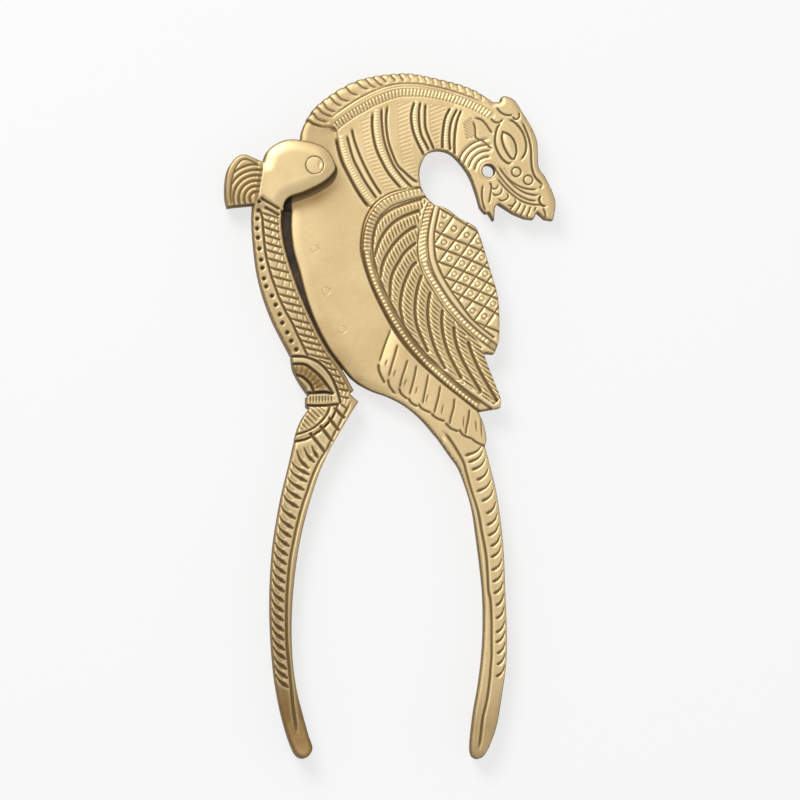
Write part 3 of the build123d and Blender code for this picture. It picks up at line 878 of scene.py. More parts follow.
# Carving of the tail fringe
fringe_lines = [
    smooth([(397, 345), (394, 356), (391, 366), (388, 377)]),
    smooth([(407, 360), (404, 370), (401, 379), (399, 388)]),
    smooth([(416, 365), (414, 376), (411.5, 386), (409, 395)]),
    smooth([(428, 373.5), (426, 384), (424, 394), (422, 404)]),
    smooth([(440, 385), (438, 396), (435.5, 406), (433.5, 414)]),
    smooth([(454, 398), (453, 408), (450.5, 417), (449, 425)]),
    smooth([(469, 409), (468, 418), (466, 427), (465, 435)]),
]
fringe_dashes = [
    smooth([(386.5, 360), (384.5, 366)]),
    smooth([(395, 370), (393, 377)]),
    smooth([(406, 379), (403.5, 386)]),
    smooth([(416.5, 387), (415, 394)]),
    smooth([(427.5, 394), (425.5, 403)]),
    smooth([(442.5, 405), (441, 414)]),
    smooth([(463.3, 416), (463, 428)]),
    smooth([(475, 420), (476, 431)]),
    smooth([(480, 418), (481.5, 438)]),
]
fringe_start_line = smooth([(391, 328), (384, 346), (379, 362)])
fringe_scallops = [
    smooth([(378, 364), (379, 372), (384.5, 383.7)]),
    smooth([(387.5, 379), (389, 386), (394.7, 394)]),
    smooth([(398.5, 388), (401, 394), (407.4, 399.5)]),
    smooth([(408, 398), (411, 403), (417.5, 407)]),
    smooth([(417.5, 403.5), (422, 409), (431, 413)]),
    smooth([(430.4, 413.3), (436, 418), (444.7, 421.4)]),
    smooth([(444.7, 422.5), (450, 428), (458.5, 431.6)]),
    smooth([(458.5, 429), (463, 435), (472.2, 438.8)]),
    smooth([(471, 438), (476, 442), (485, 446)]),
]

# Carving of the bird's handle: a groove beside the inner rim, and crescents
bird_handle_groove = smooth([
    (442, 430), (450, 440), (457, 451), (463, 462), (466, 473), (469, 484), (472, 494), (476, 506),
    (479, 518), (481, 530), (484, 545), (486, 558), (487, 572), (488, 590), (490, 600), (491, 620),
    (491, 640), (491, 655), (490, 668), (489, 680), (487, 695), (485, 705), (482, 718), (480, 735),
    (478, 750),
])
bird_crescent_ends = [
    (463, 455), (466.5, 461.5), (470, 469), (475, 479), (475, 490.5), (480, 500), (484.5, 512.3),
    (485, 524), (486.3, 534.5), (489, 545), (489, 556), (489.7, 569), (490.8, 580.5), (492, 592),
    (494, 604), (494, 617), (494, 631), (494, 641), (495, 652), (495, 663), (494, 675),
]

# Slot in the belly that the blade is let into, and the rivets through it
blade_seat_depth = 30.2
blade_slot_overrun = 6
blade_back_line = shifted(belly_edge[10:], blade_seat_depth)
blade_slot = np.vstack([blade_back_line, shifted(belly_edge[10:], -blade_slot_overrun)[::-1]])
blade_rivet_names = ("blade_rivet_upper", "blade_rivet_middle", "blade_rivet_lower")
blade_rivet_pixels = [
    hinge_pixel + np.array([1, -1]) * np.mean([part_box(name)[0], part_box(name)[1]], axis=0)[:2] / pixel_size
    for name in blade_rivet_names
]

# Outline of the anvil lever
ear_edge = smooth([
    (262.5, 163), (267, 151.5), (277, 144), (288, 140.5), (303, 141.5), (318, 145.5), (327, 151.5),
    (332.5, 160.5), (334.5, 169), (330, 176.5), (320, 184.5), (304, 192.5), (290, 197.5), (284.6, 202),
    (282.6, 207),
])
jaw_edge = smooth([
    (280, 212), (281, 232), (284, 250), (290, 270), (297, 290), (305, 309), (315, 330), (326, 350),
    (341, 370), (353, 391),
])
heel_notch = straight((353, 391), (349, 394.2), (353, 398))
heel_edge = smooth([(357.6, 402), (346, 421), (331, 447)])
anvil_handle_edge = smooth([
    (331, 447), (319, 473), (309, 504), (301.5, 533), (296.3, 562), (292.7, 594.5), (291.3, 627),
    (292.5, 661), (296.5, 690), (302, 712), (308, 734), (312, 748), (306, 757), (297, 755),
    (290, 742), (283, 720), (277.5, 695), (273.5, 668), (270.7, 630), (270.3, 592), (272.5, 552),
    (276.5, 523), (281.5, 496), (289, 465), (294, 443),
])
leaf_edge = smooth([(294, 443), (297, 431), (302, 419), (309, 409)])
collar_edge = straight((309, 409), (306, 407), (306, 397.5), (308.5, 396))
medallion_edge = smooth([(308.5, 396), (299, 382), (293, 370), (291, 357)])
arm_edge = smooth([
    (291, 357), (282, 340), (272, 320), (263, 296), (257, 272), (253.5, 245), (252, 222), (252.5, 206),
])
fan_foot_edge = straight((252.5, 206), (233, 208), (227, 209))
fan_edge = smooth([
    (227, 209), (224.8, 198), (225, 182), (228, 169), (235, 159), (243, 155.5), (251, 158), (261, 162.5),
])
anvil_outline = np.vstack([
    ear_edge[:-1], straight((282.6, 207), (282, 211.6)), jaw_edge[:-1], heel_notch, heel_edge[:-1],
    anvil_handle_edge[:-1], leaf_edge[:-1], collar_edge[:-1], medallion_edge[:-1], arm_edge[:-1],
    fan_foot_edge[:-1], fan_edge,
])

# Regions of the anvil lever
fan_region = straight((210, 140), (262, 140), (262, 170), (256, 206), (252.5, 214), (210, 214))
arm_region = straight((240, 206), (254, 200), (262, 196), (285, 212), (370, 212), (370, 450), (240, 450))
medallion_region = np.vstack([
    smooth([
        (286, 357.5), (307.3, 358.5), (324.7, 369.5), (334.9, 386.7), (339, 402), (331, 418), (316, 431),
        (290, 442.5),
    ]),
    straight((270, 442), (270, 358)),
])
anvil_handle_region = straight((240, 425), (350, 395), (400, 395), (400, 770), (240, 770))
ear_slot_edge = straight(
    (280, 212), (283, 200), (288, 183.3), (285.2, 177), (283.4, 169.5), (283.5, 162.5), (281, 156),
    (278.9, 152.2),
)
ear_slot = np.vstack([ear_slot_edge, straight((273.4, 140.1), (268, 130), (345, 100), (345, 212))])
jaw_groove_floor = shifted(smooth([(281, 202), (280, 212), *jaw_edge[12::12], (353, 391)]), jaw_groove_depth)
jaw_groove = np.vstack([jaw_groove_floor, straight((380, 395), (380, 202))])

# Carving of the arm: dots, a groove, rungs and a rim line
arm_dots = [
    (258.1, 203), (257.7, 211.7), (256.5, 220), (256.2, 229.8), (257.1, 239), (258.6, 250), (260.4, 261),
    (261.5, 269.2), (263.1, 279.8), (265.4, 287.7), (271.2, 297), (274.9, 306), (279, 315.5), (281.5, 324),
    (286.5, 333.5), (290.5, 342), (295.5, 350.5),
]
arm_groove = smooth([
    (259.4, 212), (261.5, 219), (262.1, 227.3), (262.9, 236.4), (263.7, 244.7), (264.8, 254), (266.4, 262),
    (268.9, 271.3), (271.4, 279.6), (274.7, 288.7), (278, 298), (281.8, 306), (285.5, 313.5), (291, 323),
    (296, 334), (301, 344), (307, 357),
])
arm_rim_line = shifted(jaw_edge, 3.4)
arm_foot_grooves = [
    smooth([(259, 198.5), (264, 202), (271, 206), (279.5, 211)]),
    smooth([(263, 208), (270, 211.5), (279, 217)]),
]
rung_rows = [
    214.5, 221, 228.6, 236.4, 244.3, 251.5, 260, 269.2, 277.9, 287.4, 295.6, 303.3, 311, 320, 327.6, 335.2,
    341.8, 348.6, 355.6,
]
rung_fall = 4.4
arm_rungs = [
    straight(at_row(arm_groove, row) + (1.5, 0), at_row(arm_rim_line, row + rung_fall)) for row in rung_rows
]
heel_rungs = [
    straight((318.6, 361.2), (329.8, 365.3)), straight((324, 368.5), (335, 371)),
    straight((329.5, 375), (339, 378)), straight((333, 381.5), (343, 385)),
    straight((336, 389.5), (347, 391.5)), straight((337.5, 397), (347, 399)),
    straight((339, 404), (346, 409)),
]
struts = []
for rungs in (arm_rungs, heel_rungs):
    for upper, lower in zip(rungs[:-1], rungs[1:]):
        struts.append(straight(at_share(upper, 0.6), at_share(lower, 0.32)))
        struts.append(straight(at_share(upper, 0.96), at_share(lower, 0.68)))
heel_cells = [
    straight((334, 409), (343, 418)), straight((328.5, 419), (337.5, 430)),
    straight((320, 427), (331, 441)), straight((310, 434.5), (324, 452)),
]

# Carving of the medallion
upper_arcs = [
    smooth([
        (288, 357.5), (298, 357.3), (307.3, 358.5), (317.6, 363), (324.7, 369.5), (330.8, 377.6),
        (334.9, 386.7), (338, 396), (339.5, 403),
    ]),
    smooth([(291, 365), (303.3, 365.3), (311.4, 370.2), (319.6, 377.4), (326.7, 386.5), (332, 394)]),
    smooth([(295, 376), (299, 377), (303.5, 379.2), (309, 384.5), (311.5, 389), (313, 393)]),
]
collar_lines = [
    smooth([(305, 394), (315, 393.5), (324, 393), (331, 394)]),
    smooth([(303, 406), (315, 406.5), (326, 406), (337, 405)]),
]
lower_arcs = [
    smooth([(295, 435.5), (305, 432.5), (313, 428.5), (320, 422.5), (326, 415), (329, 407)]),
    smooth([(292, 442.5), (303, 440.5), (310, 437.5), (316, 433.5), (322, 429), (331, 419), (337, 406)]),
]

crescent_rib_centre = np.array([292.0, 402.0])
crescent_rib_angles = [-82, -73, -64, -55, -46, -37, -28]
collar_rib_columns = [309.5, 312.5, 315.5, 318.5, 321.5, 324.5, 327.5, 330.5]
leaf_rib_starts = [
    (310, 409.5), (307.5, 413), (305.5, 417), (303.5, 421), (301.5, 425), (299.8, 429), (315, 408.5),
    (320, 408.5),
]
leaf_rib_run = np.array([8.5, 8.5])

# Carving of the fan
fan_scale_centre = (256, 200)
fan_arcs = [circle(fan_scale_centre, radius, 150, 140) for radius in (7, 12.5, 18, 23.5, 29, 34.5)]
fan_rim_line = smooth([
    (231, 208), (230, 196), (230.8, 183), (234, 171), (239.5, 162.5), (245, 160.5), (251, 162.5), (259, 167),
])

# Carving of the anvil lever's handle
anvil_handle_groove = smooth([
    (350.5, 401), (346, 410), (342, 417.3), (336.9, 427.6), (330.8, 439.8), (325.4, 451.2), (319.3, 460.4),
    (314.6, 470), (310.5, 480), (306.6, 492), (303, 502), (300, 512), (297.5, 521.5), (295, 532),
    (293, 542), (290.9, 552.2), (289.2, 563), (287.8, 577), (286.6, 593), (286, 610), (286, 628),
    (286.5, 645), (288, 660), (289.5, 675), (291, 690), (292.5, 705), (294.5, 720), (297, 733),
])
anvil_top_strokes = [
    smooth([(311, 446), (314, 453), (318.3, 459.4)]),
    smooth([(303, 447.5), (307.5, 456.5), (315, 464)]),
    smooth([(296, 450.5), (300, 461), (309, 470)]),
]
anvil_crescent_rows = [
    476, 483, 491.5, 500.2, 509, 520, 529.8, 538.5, 547.7, 556.8, 565.8, 575, 584, 593, 603, 613,
    622, 632, 641, 651, 660, 670, 679, 688,
]


def bird_crescents():
    """Crescents across the bird's handle, from its outer edge down to the groove."""
    rim_climb = 14
    start_climb = 12.5
    start_inset = 1.5
    sag = (1.2, 3.4)
    hook = (3.5, -0.2)
    outer = bird_handle_edge[: len(bird_handle_edge) // 2]
    lines = []
    for end in bird_crescent_ends:
        rim = at_row(outer, end[1] - rim_climb)
        start = np.array([rim[0] - start_inset, end[1] - start_climb])
        belly = (0.38 * np.array(end) + 0.62 * start) + sag
        lines.append(smooth([start, belly, np.add(end, hook), end]))
    return lines


def anvil_crescents():
    """Crescents across the anvil lever's handle, from its outer edge down to the groove."""
    rim_climb = 14
    rim_gap = (1.0, 0)
    groove_gap = (1.6, 0)
    upper_sag = (-1.3, 1.5)
    lower_sag = (-0.6, 1.2)
    outer = anvil_handle_edge[len(anvil_handle_edge) // 2:]
    lines = list(anvil_top_strokes)
    for row in anvil_crescent_rows:
        end = at_row(anvil_handle_groove, row) - groove_gap
        start = at_row(outer, row - rim_climb) + rim_gap
        upper = 0.72 * start + 0.28 * end + upper_sag
        lower = 0.35 * start + 0.65 * end + lower_sag
        lines.append(smooth([start, upper, lower, end]))
    return lines


def crossings(falling, rising):
    """The middles of a lattice's cells, from the places where its lines cross."""
    cross = np.empty((len(falling), len(rising), 2))
    far_enough = 200
    for row, first in enumerate(falling):
        dense = smooth(first, step=0.5)
        for column, second in enumerate(rising):
            near = Nearby(dense, second, far_enough)
            cross[row, column] = near.foot[near.gap.argmin()]
    return (cross[:-1, :-1] + cross[1:, :-1] + cross[:-1, 1:] + cross[1:, 1:]).reshape(-1, 2) / 4


def strip(line, width):
    """The ring between a line and the same line moved to its right."""
    return np.vstack([line, shifted(line, width)[::-1]])


def painted_ear_shadow(width):
    """The ring of painted shadow below the ear's lower edge, which widens from nothing at its upper end."""
    edge = ear_edge[len(ear_edge) * 11 // 20:]
    growing = np.clip(np.linspace(0, 4, len(edge)), 0, 1)[:, None]
    return np.vstack([edge, (edge + growing * (shifted(edge, -width) - edge))[::-1]])


def neck_rib_heading(column, row):
    """The angle of the neck's fine ribs below the row, which turns with the neck."""
    return -24 + 0.1 * (row - 100)


def barb_heading(column, row):
    """The angle of the feathers' barbs below the row: steep near the shoulder, flatter down the wing."""
    shoulder_column = 400
    shoulder_row = 205
    angle = 82 - 0.36 * (row - shoulder_row) - 0.05 * (column - shoulder_column)
    return np.clip(angle, 33, 84)


# Levels of the bird lever, each over the ones before: ring, half thickness, width of its shoulder
bird_levels = [
    (neck_region, neck_half, 3.0),
    (head_region, head_half, 24),
    (handle_region, handle_half, 60),
    (fringe_region, fringe_half, 22),
    (wing_region, wing_half, 3.0),
]

# Edges that the bird lever's surface rounds down to: line, width, drop
bird_falls = [
    (belly_edge, 11, 0.3),
    (belly_bottom, 10, 0.4),
    (bird_handle_edge, 3.4, 0.5),
    (mane_edge, 7, 0.3),
    (np.vstack([tuft_edge, forehead_edge, snout_edge]), 6, 0.4),
]

# Browning and painted shade of the bird lever, each over the ones before: ring, rows, strength of the stain at
# each row
bead_band_half = 6
bead_band_start = 60
bead_band = np.vstack([
    shifted(wing_beads, bead_band_half)[bead_band_start:],
    shifted(wing_beads, -bead_band_half)[bead_band_start:][::-1],
])
bird_tones = [
    (neck_region, [70, 100, 200], [0.24, 0.18, 0.1]),
    (head_region, [90, 130, 170, 210], [0.14, 0.06, 0.0, 0.0]),
    (tongue_plate, [100, 150, 200], [0.5, 0.4, 0.2]),
    # Painted shadow: the ear's shadow on the belly, painted as a brown stain
    (painted_ear_shadow(15), [160, 190, 215], [0.4, 0.8, 1.0]),
    # Painted shade: the belly's rounded left and lower edges are painted browner, more so towards the bottom
    (strip(belly_edge, 14), [205, 300, 384], [0.12, 0.24, 0.42]),
    (strip(belly_bottom, 12), [384, 410, 440], [0.36, 0.3, 0.1]),
    (wing_region, [190, 240, 330, 410], [0.08, 0.04, 0.14, 0.12]),
    (lattice_region, [200, 345], [0.05, 0.05]),
    (fringe_below_wing, [330, 370, 445], [0.12, 0.0, 0.0]),
    (bead_band, [240, 300, 345, 410], [0.26, 0.4, 0.7, 0.9]),
    (handle_region, [430, 450, 600, 680, 730, 760], [0.08, 0.0, 0.06, 0.34, 0.55, 0.6]),
]

# Soot and painted shade on the bird lever: ring, depth of cut that would hold as much
bird_soot_and_shade = [
    # Painted shadow: the darkest part of the ear's shadow on the belly, painted as soot
    (painted_ear_shadow(6.5), 0.2),
    (bead_band, 0.05),
    # Painted shade: the heel behind the jaw is blackened where the gap between the pieces lies in shadow
    (straight((280, 186), (291.6, 186), (291.2, 213), (280, 213)), 0.5),
    (circle(hanging_hole_pixel, 7.2), 0.12),
]

# Cuts of the bird lever: lines, width in pixels, depth in millimetres, taper
crisp_lobe_count = 13
soft_lobe_share = 0.65
crest_fine_lines = [shifted(crest_line, distance)[30:] for distance in (3.2, 5.6)]
mane_and_neck_cuts = [
    (mane_lobe_lines[:crisp_lobe_count], 7.0, 0.1, 0.2),
    (mane_lobe_lines[:crisp_lobe_count], 2.8, 0.27, 0.2),
    (mane_lobe_lines[crisp_lobe_count:], 7.0, 0.1 * soft_lobe_share, 0.2),
    (mane_lobe_lines[crisp_lobe_count:], 2.8, 0.27 * soft_lobe_share, 0.2),
    ([crest_line], 3.0, 0.2, 0.1),
    (crest_fine_lines, 1.8, 0.1, 0.3),
    (neck_lines[:1], 4.6, 0.5, 0.06),
    (neck_lines[1:], 3.9, 0.5, 0.06),
]
head_cuts = [
    (head_lines, 3.2, 0.36, 0.12),
    (eye_outer_lines + [brow_line], 3.6, 0.42, 0.1),
    (eye_lines, 3.0, 0.42, 0),
    (cheek_lines, 6.4, 0.2, 0.12),
    (cheek_lines, 3.0, 0.36, 0.15),
    (tooth_lines, 3.0, 0.34, 0.08),
    (curl_lines, 3.0, 0.3, 0.15),
    ([circle(centre, 4.6) for centre in snout_rings], 2.8, 0.3, 0),
    ([nostril_line], 3.4, 0.5, 0.15),
    ([circle(hanging_hole_pixel, 9.2)], 1.8, 0.08, 0),
]
wing_cuts = [
    ([wing_inner_band], 5.6, 0.64, 0),
    ([shifted(second_beads, 5.2)[16:]], 4.2, 0.5, 0.1),
    (inner_rim_lines, 3.8, 0.4, 0),
]
feather_cuts = [([lengthened(line, 1, 9) for line in feather_lines], 7.6, 0.72, 0.05)]
lattice_cuts = [
    (lattice_falling + lattice_rising, 8.0, 0.16, 0),
    (lattice_falling + lattice_rising, 4.0, 0.4, 0),
]
fringe_cuts = [
    (fringe_lines, 4.2, 0.12, 0.08),
    (fringe_dashes, 2.8, 0.08, 0.3),
    (fringe_scallops, 3.8, 0.24, 0.1),
    ([fringe_start_line], 3.2, 0.12, 0.1),
]

# Soot in the fringe's cuts: lines, width, depth of cut that would hold as much
fringe_inks = [
    (fringe_lines, 5.0, 0.11),
    (fringe_dashes, 3.6, 0.09),
    (fringe_scallops, 4.0, 0.1),
    ([fringe_start_line], 4.2, 0.1),
]


def make_bird_lever():
    """The bird: belly, neck, head, wing, tail fringe and handle."""
    hole = circle(hanging_hole_pixel, hanging_hole_radius)
    bore = circle(hinge_pixel, tongue_bore_radius)
    rivet_holes = [circle(place, blade_rivet_radius) for place in blade_rivet_pixels]
    handle_crescents = bird_crescents()
    crisp = (
        mane_lobe_lines + [crest_line] + neck_lines + head_lines + eye_lines + eye_outer_lines + curl_lines
        + cheek_lines + tooth_lines + [brow_line, nostril_line] + feather_lines + [wing_inner_band]
        + inner_rim_lines + fringe_lines + fringe_dashes + fringe_scallops + [bird_handle_groove]
        + handle_crescents + lattice_falling + lattice_rising + [wing_rim, neck_rim]
    )
    lever = Casting(bird_outline, [hole, bore] + rivet_holes, crisp)
    lever.lay_out(tongue_half, bird_levels, bird_falls, bird_tones, bird_soot_and_shade)
    carve_mane_and_neck(lever)
    carve_head(lever)
    carve_wing(lever)
    lever.cut_all(fringe_cuts)
    for lines, width, strength in fringe_inks:
        for line in lines:
            lever.ink(line, width, strength)
    lever.groove(bird_handle_groove, width=5.0, depth=0.36, taper=0.03)
    swell = ([0, 0.35, 0.8, 1], [0.35, 0.6, 1, 0.6])
    for line in handle_crescents:
        lever.groove(line, width=5.4, depth=0.42, taper=0.12, swell=swell)
    lever.hollow(blade_slot, blade_slot_half)
    roundings = [outline_rounding, hanging_hole_rounding, tongue_bore_rounding]
    return lever.mesh("bird_casting", roundings + [rivet_hole_rounding] * len(rivet_holes))


def carve_mane_and_neck(lever):
    """Lobes and a rope along the mane, and bands between pairs of lines down the neck."""
    lever.cut_all(mane_and_neck_cuts)
    lever.channel(rope_line, width=9, depth=0.22)
    lever.beads(rope_line, width=8.0, pitch=3.5, height=0.3, lean=0.15, bars=True)
    for first, second in neck_bead_pairs:
        count = min(len(neck_lines[first]), len(neck_lines[second]))
        shares = np.linspace(0, 1, count)
        left = np.array([at_share(neck_lines[first], share) for share in shares])
        right = np.array([at_share(neck_lines[second], share) for share in shares])
        lever.beads((left + right) / 2, width=5.0, pitch=2.9, height=0.1)
    for first, second, patch in neck_cells:
        cell = np.vstack([shifted(neck_lines[first], -3.0), shifted(neck_lines[second], 3.0)[::-1]])
        ribbed = lever.within(cell) & lever.within(patch)
        guide = lengthened(neck_lines[first], 10, 10)
        lever.strokes(guide, width=40, pitch=3.8, depth=0.04, heading=neck_rib_heading, only=ribbed)


def carve_head(lever):
    """The eye, the cheek's folds, lips, teeth, curls and beard."""
    lever.cut_all(head_cuts)
    dome_width = 7
    dome_height = 0.3
    in_eye = lever.within(eyeball)
    near = Nearby(lever.spots, closed(eyeball), dome_width)
    doming = np.zeros(len(lever.spots))
    doming[near.index] = dome_height * np.sqrt(np.clip(near.gap / dome_width, 0, 1))
    lever.rise[in_eye] += doming[in_eye]
    for ring, guide, angle in hatch_patches:
        lever.strokes(
            guide, width=30, pitch=2.6, depth=0.16,
            heading=lambda column, row: np.full_like(row, angle), only=lever.within(ring),
        )
    lever.dimple(snout_dot, radius=2.2, depth=0.3)


def carve_wing(lever):
    """Bead borders, barbed feathers and the scaled shoulder."""
    on_wing = lever.within(wing_region)
    barred = on_wing & (lever.spots[:, 1] < wing_bars_end_row)
    slanted = on_wing & (lever.spots[:, 1] < second_bars_end_row)
    lever.channel(lengthened(wing_beads, 6, 10), width=11.4, depth=0.46, only=on_wing)
    lever.beads(wing_beads, width=8.4, pitch=4.0, height=0.3, only=barred, bars=True)
    lever.beads(wing_beads, width=5.4, pitch=4.0, height=0.34, only=on_wing & ~barred)
    lever.channel(lengthened(second_beads, 0, 12), width=9.6, depth=0.38, only=on_wing)
    lever.beads(second_beads, width=7.4, pitch=4.2, height=0.26, lean=-0.5, only=slanted, bars=True)
    lever.beads(second_beads, width=5.4, pitch=4.2, height=0.3, only=on_wing & ~slanted)
    feathers = on_wing & lever.within(np.vstack([
        shifted(wing_inner_band, -1), wing_tip_line[::-1], shifted(second_beads, 6.4)[::-1],
    ]))
    long_lines = [lengthened(line, 16, 14) for line in feather_lines]
    borders = [lengthened(wing_beads, 10, 10)] + long_lines + [lengthened(wing_tip_line, 14, 10)]
    for first, second in zip(borders[:-1], borders[1:]):
        barbed = feathers & lever.within(np.vstack([first, second[::-1]]))
        guide = smooth(second[::6] if len(second) > 30 else second)
        lever.strokes(guide, width=30, pitch=3.5, depth=0.42, heading=barb_heading, only=barbed)
    lever.cut_all(feather_cuts, only=feathers)
    lever.cut_all(wing_cuts, only=on_wing)
    lever.cut_all(lattice_cuts, only=on_wing & lever.within(lattice_region))
    lever.groove(wing_rim, width=3.0, depth=0.3)
    cells = [tuple(centre) for centre in crossings(lattice_falling, lattice_rising)]
    for centre in cells + extra_scale_rings:
        spot = np.array([centre])
        if is_inside(spot, ring_region)[0] and is_inside(spot, bird_outline)[0]:
            lever.groove(circle(centre, 2.5), width=2.6, depth=0.24)
            lever.dimple(centre, radius=1.3, depth=0.08)


# Levels of the anvil lever, each over the ones before: ring, half thickness, width of its shoulder
anvil_levels = [
    (arm_region, arm_half, 13),
    (fan_region, fan_half, 5),
    (anvil_handle_region, handle_half, 60),
    (medallion_region, medallion_half, 2.4),
]

# Edges that the anvil lever's surface rounds down to: line, width, drop
anvil_falls = [
    (ear_edge, 13, 0.8),
    (anvil_handle_edge, 3.4, 0.5),
]

# Browning of the anvil lever, each over the ones before: ring, rows, strength of the stain at each row
crescent_ring = np.vstack([upper_arcs[1], upper_arcs[2][::-1]])
anvil_tones = [
    (arm_region, [200, 260, 330, 355], [0.5, 0.5, 0.6, 0.65]),
    (fan_region, [150, 180, 210], [0.45, 0.7, 0.9]),
    (medallion_region, [358, 396, 408, 440], [0.6, 0.7, 0.1, 0.05]),
    (crescent_ring, [360, 396], [0.9, 0.8]),
    (anvil_handle_region, [450, 500, 560, 640, 720, 757], [0.28, 0.38, 0.62, 0.82, 0.95, 1.0]),
]

# Soot on the anvil lever: ring, depth of cut that would hold as much
anvil_soot = [(circle(centre, 1.9), 0.05) for centre in arm_dots] + [
    (crescent_ring, 0.085),
    (np.vstack([fan_rim_line, straight((262, 170), (256, 206), (240, 207))]), 0.02),
]

# Cuts of the anvil lever: lines, width in pixels, depth in millimetres, taper
collar_ribs = [straight((column, 397.5), (column, 404)) for column in collar_rib_columns]
anvil_cuts = [
    ([circle(hinge_pixel, 9.0)], 2.2, 0.12, 0),
    ([arm_groove], 3.8, 0.5, 0),
    ([arm_rim_line], 2.4, 0.2, 0),
    (arm_foot_grooves, 4.6, 0.55, 0.1),
    (arm_rungs + heel_rungs, 3.8, 0.34, 0),
    (struts, 2.8, 0.18, 0),
    (heel_cells, 5.4, 0.6, 0),
    (upper_arcs + lower_arcs, 4.2, 0.6, 0),
    (collar_lines, 5.0, 0.75, 0),
    (collar_ribs, 2.6, 0.3, 0),
    ([fan_rim_line], 3.0, 0.24, 0.05),
    ([fan_foot_edge], 4.0, 0.5, 0),
    ([anvil_handle_groove], 5.0, 0.4, 0.03),
]


def make_anvil_lever():
    """The lever below: ears, fan, grooved arm, medallion and handle."""
    bore = circle(hinge_pixel, ear_bore_radius)
    handle_crescents = anvil_crescents()
    crisp = (
        arm_rungs + struts + heel_rungs + heel_cells + upper_arcs + lower_arcs + collar_lines
        + handle_crescents + [arm_groove, arm_rim_line, anvil_handle_groove, ear_slot_edge, jaw_groove_floor]
        + fan_arcs + arm_foot_grooves
    )
    lever = Casting(anvil_outline, [bore], crisp)
    lever.lay_out(ear_half, anvil_levels, anvil_falls, anvil_tones, anvil_soot)
    lever.cut_all(anvil_cuts)
    for centre in arm_dots:
        lever.dimple(centre, radius=3.3, depth=0.6)
    in_crescent = lever.within(crescent_ring)
    for angle in crescent_rib_angles:
        way = np.array([math.cos(math.radians(angle)), math.sin(math.radians(angle))])
        rib = straight(crescent_rib_centre + 8 * way, crescent_rib_centre + 50 * way)
        lever.groove(rib, width=3.2, depth=0.07, only=in_crescent)
    on_leaf = lever.within(np.vstack([lower_arcs[0], straight((308, 408), (290, 408), (290, 436))]))
    for start in leaf_rib_starts:
        lever.groove(straight(start, start + leaf_rib_run), width=2.6, depth=0.26, only=on_leaf)
    inside_fan_rim = np.vstack([fan_rim_line, straight((270, 170), (270, 215))])
    on_fan = lever.within(fan_region) & lever.within(inside_fan_rim)
    for line in fan_arcs:
        lever.groove(line, width=4.4, depth=0.26, only=on_fan)
    swell = ([0, 0.3, 0.7, 1], [0.3, 0.55, 1, 0.35])
    for line in handle_crescents:
        lever.groove(line, width=6.4, depth=0.6, taper=0.06, swell=swell)
        beside = shifted(line[: len(line) * 3 // 5], -3.4)
        lever.groove(beside, width=2.2, depth=0.16, taper=0.2)
    lever.hollow(jaw_groove, jaw_groove_half)
    lever.hollow(ear_slot, ear_slot_half)
    return lever.mesh("anvil_casting", [outline_rounding, ear_bore_rounding])


def make_rivet(name, centre, radius, half, dome, dents):
    """A turned rivet whose domed ends carry small dents, each given by a place, two radii and a depth."""
    ring_count = 22
    sector_count = 96
    rim_share = 0.93
    rim_width_share = 0.07
    rim_drop_share = 1.6
    shares = np.linspace(0, 1, ring_count + 1)[1:]
    angles = np.linspace(0, 2 * np.pi, sector_count, endpoint=False)
    spots = np.array(centre) + radius * np.column_stack([
        np.outer(shares, np.cos(angles)).ravel(), np.outer(shares, np.sin(angles)).ravel(),
    ])
    spots = np.vstack([centre, spots])
    away = np.concatenate([[0], np.repeat(shares, sector_count)])
    past_rim = np.clip((away - rim_share) / rim_width_share, 0, 1)
    height = half - dome * (away**2 + rim_drop_share * past_rim)
    for place, across, along, depth in dents:
        reach = np.sqrt(((spots[:, 0] - place[0]) / across) ** 2 + ((spots[:, 1] - place[1]) / along) ** 2)
        height -= depth * (0.5 + 0.5 * np.cos(np.pi * np.clip(reach, 0, 1)))
    count = len(spots)
    faces = []
    for sector in range(sector_count):
        following = (sector + 1) % sector_count
        faces.append((0, 1 + following, 1 + sector))
        for ring in range(ring_count - 1):
            inner, outer = 1 + ring * sector_count, 1 + (ring + 1) * sector_count
            faces.append((inner + sector, inner + following, outer + following))
            faces.append((inner + sector, outer + following, outer + sector))
    front = np.array(faces)
    rim = 1 + (ring_count - 1) * sector_count + np.arange(sector_count)
    following = np.roll(rim, -1)
    walls = np.vstack([
        np.column_stack([rim, following, following + count]),
        np.column_stack([rim, following + count, rim + count]),
    ])
    metres = metres_of(np.vstack([spots, spots]), np.concatenate([height, -height]))
    return new_piece(name, metres, np.vstack([front, front[:, ::-1] + count, walls]))


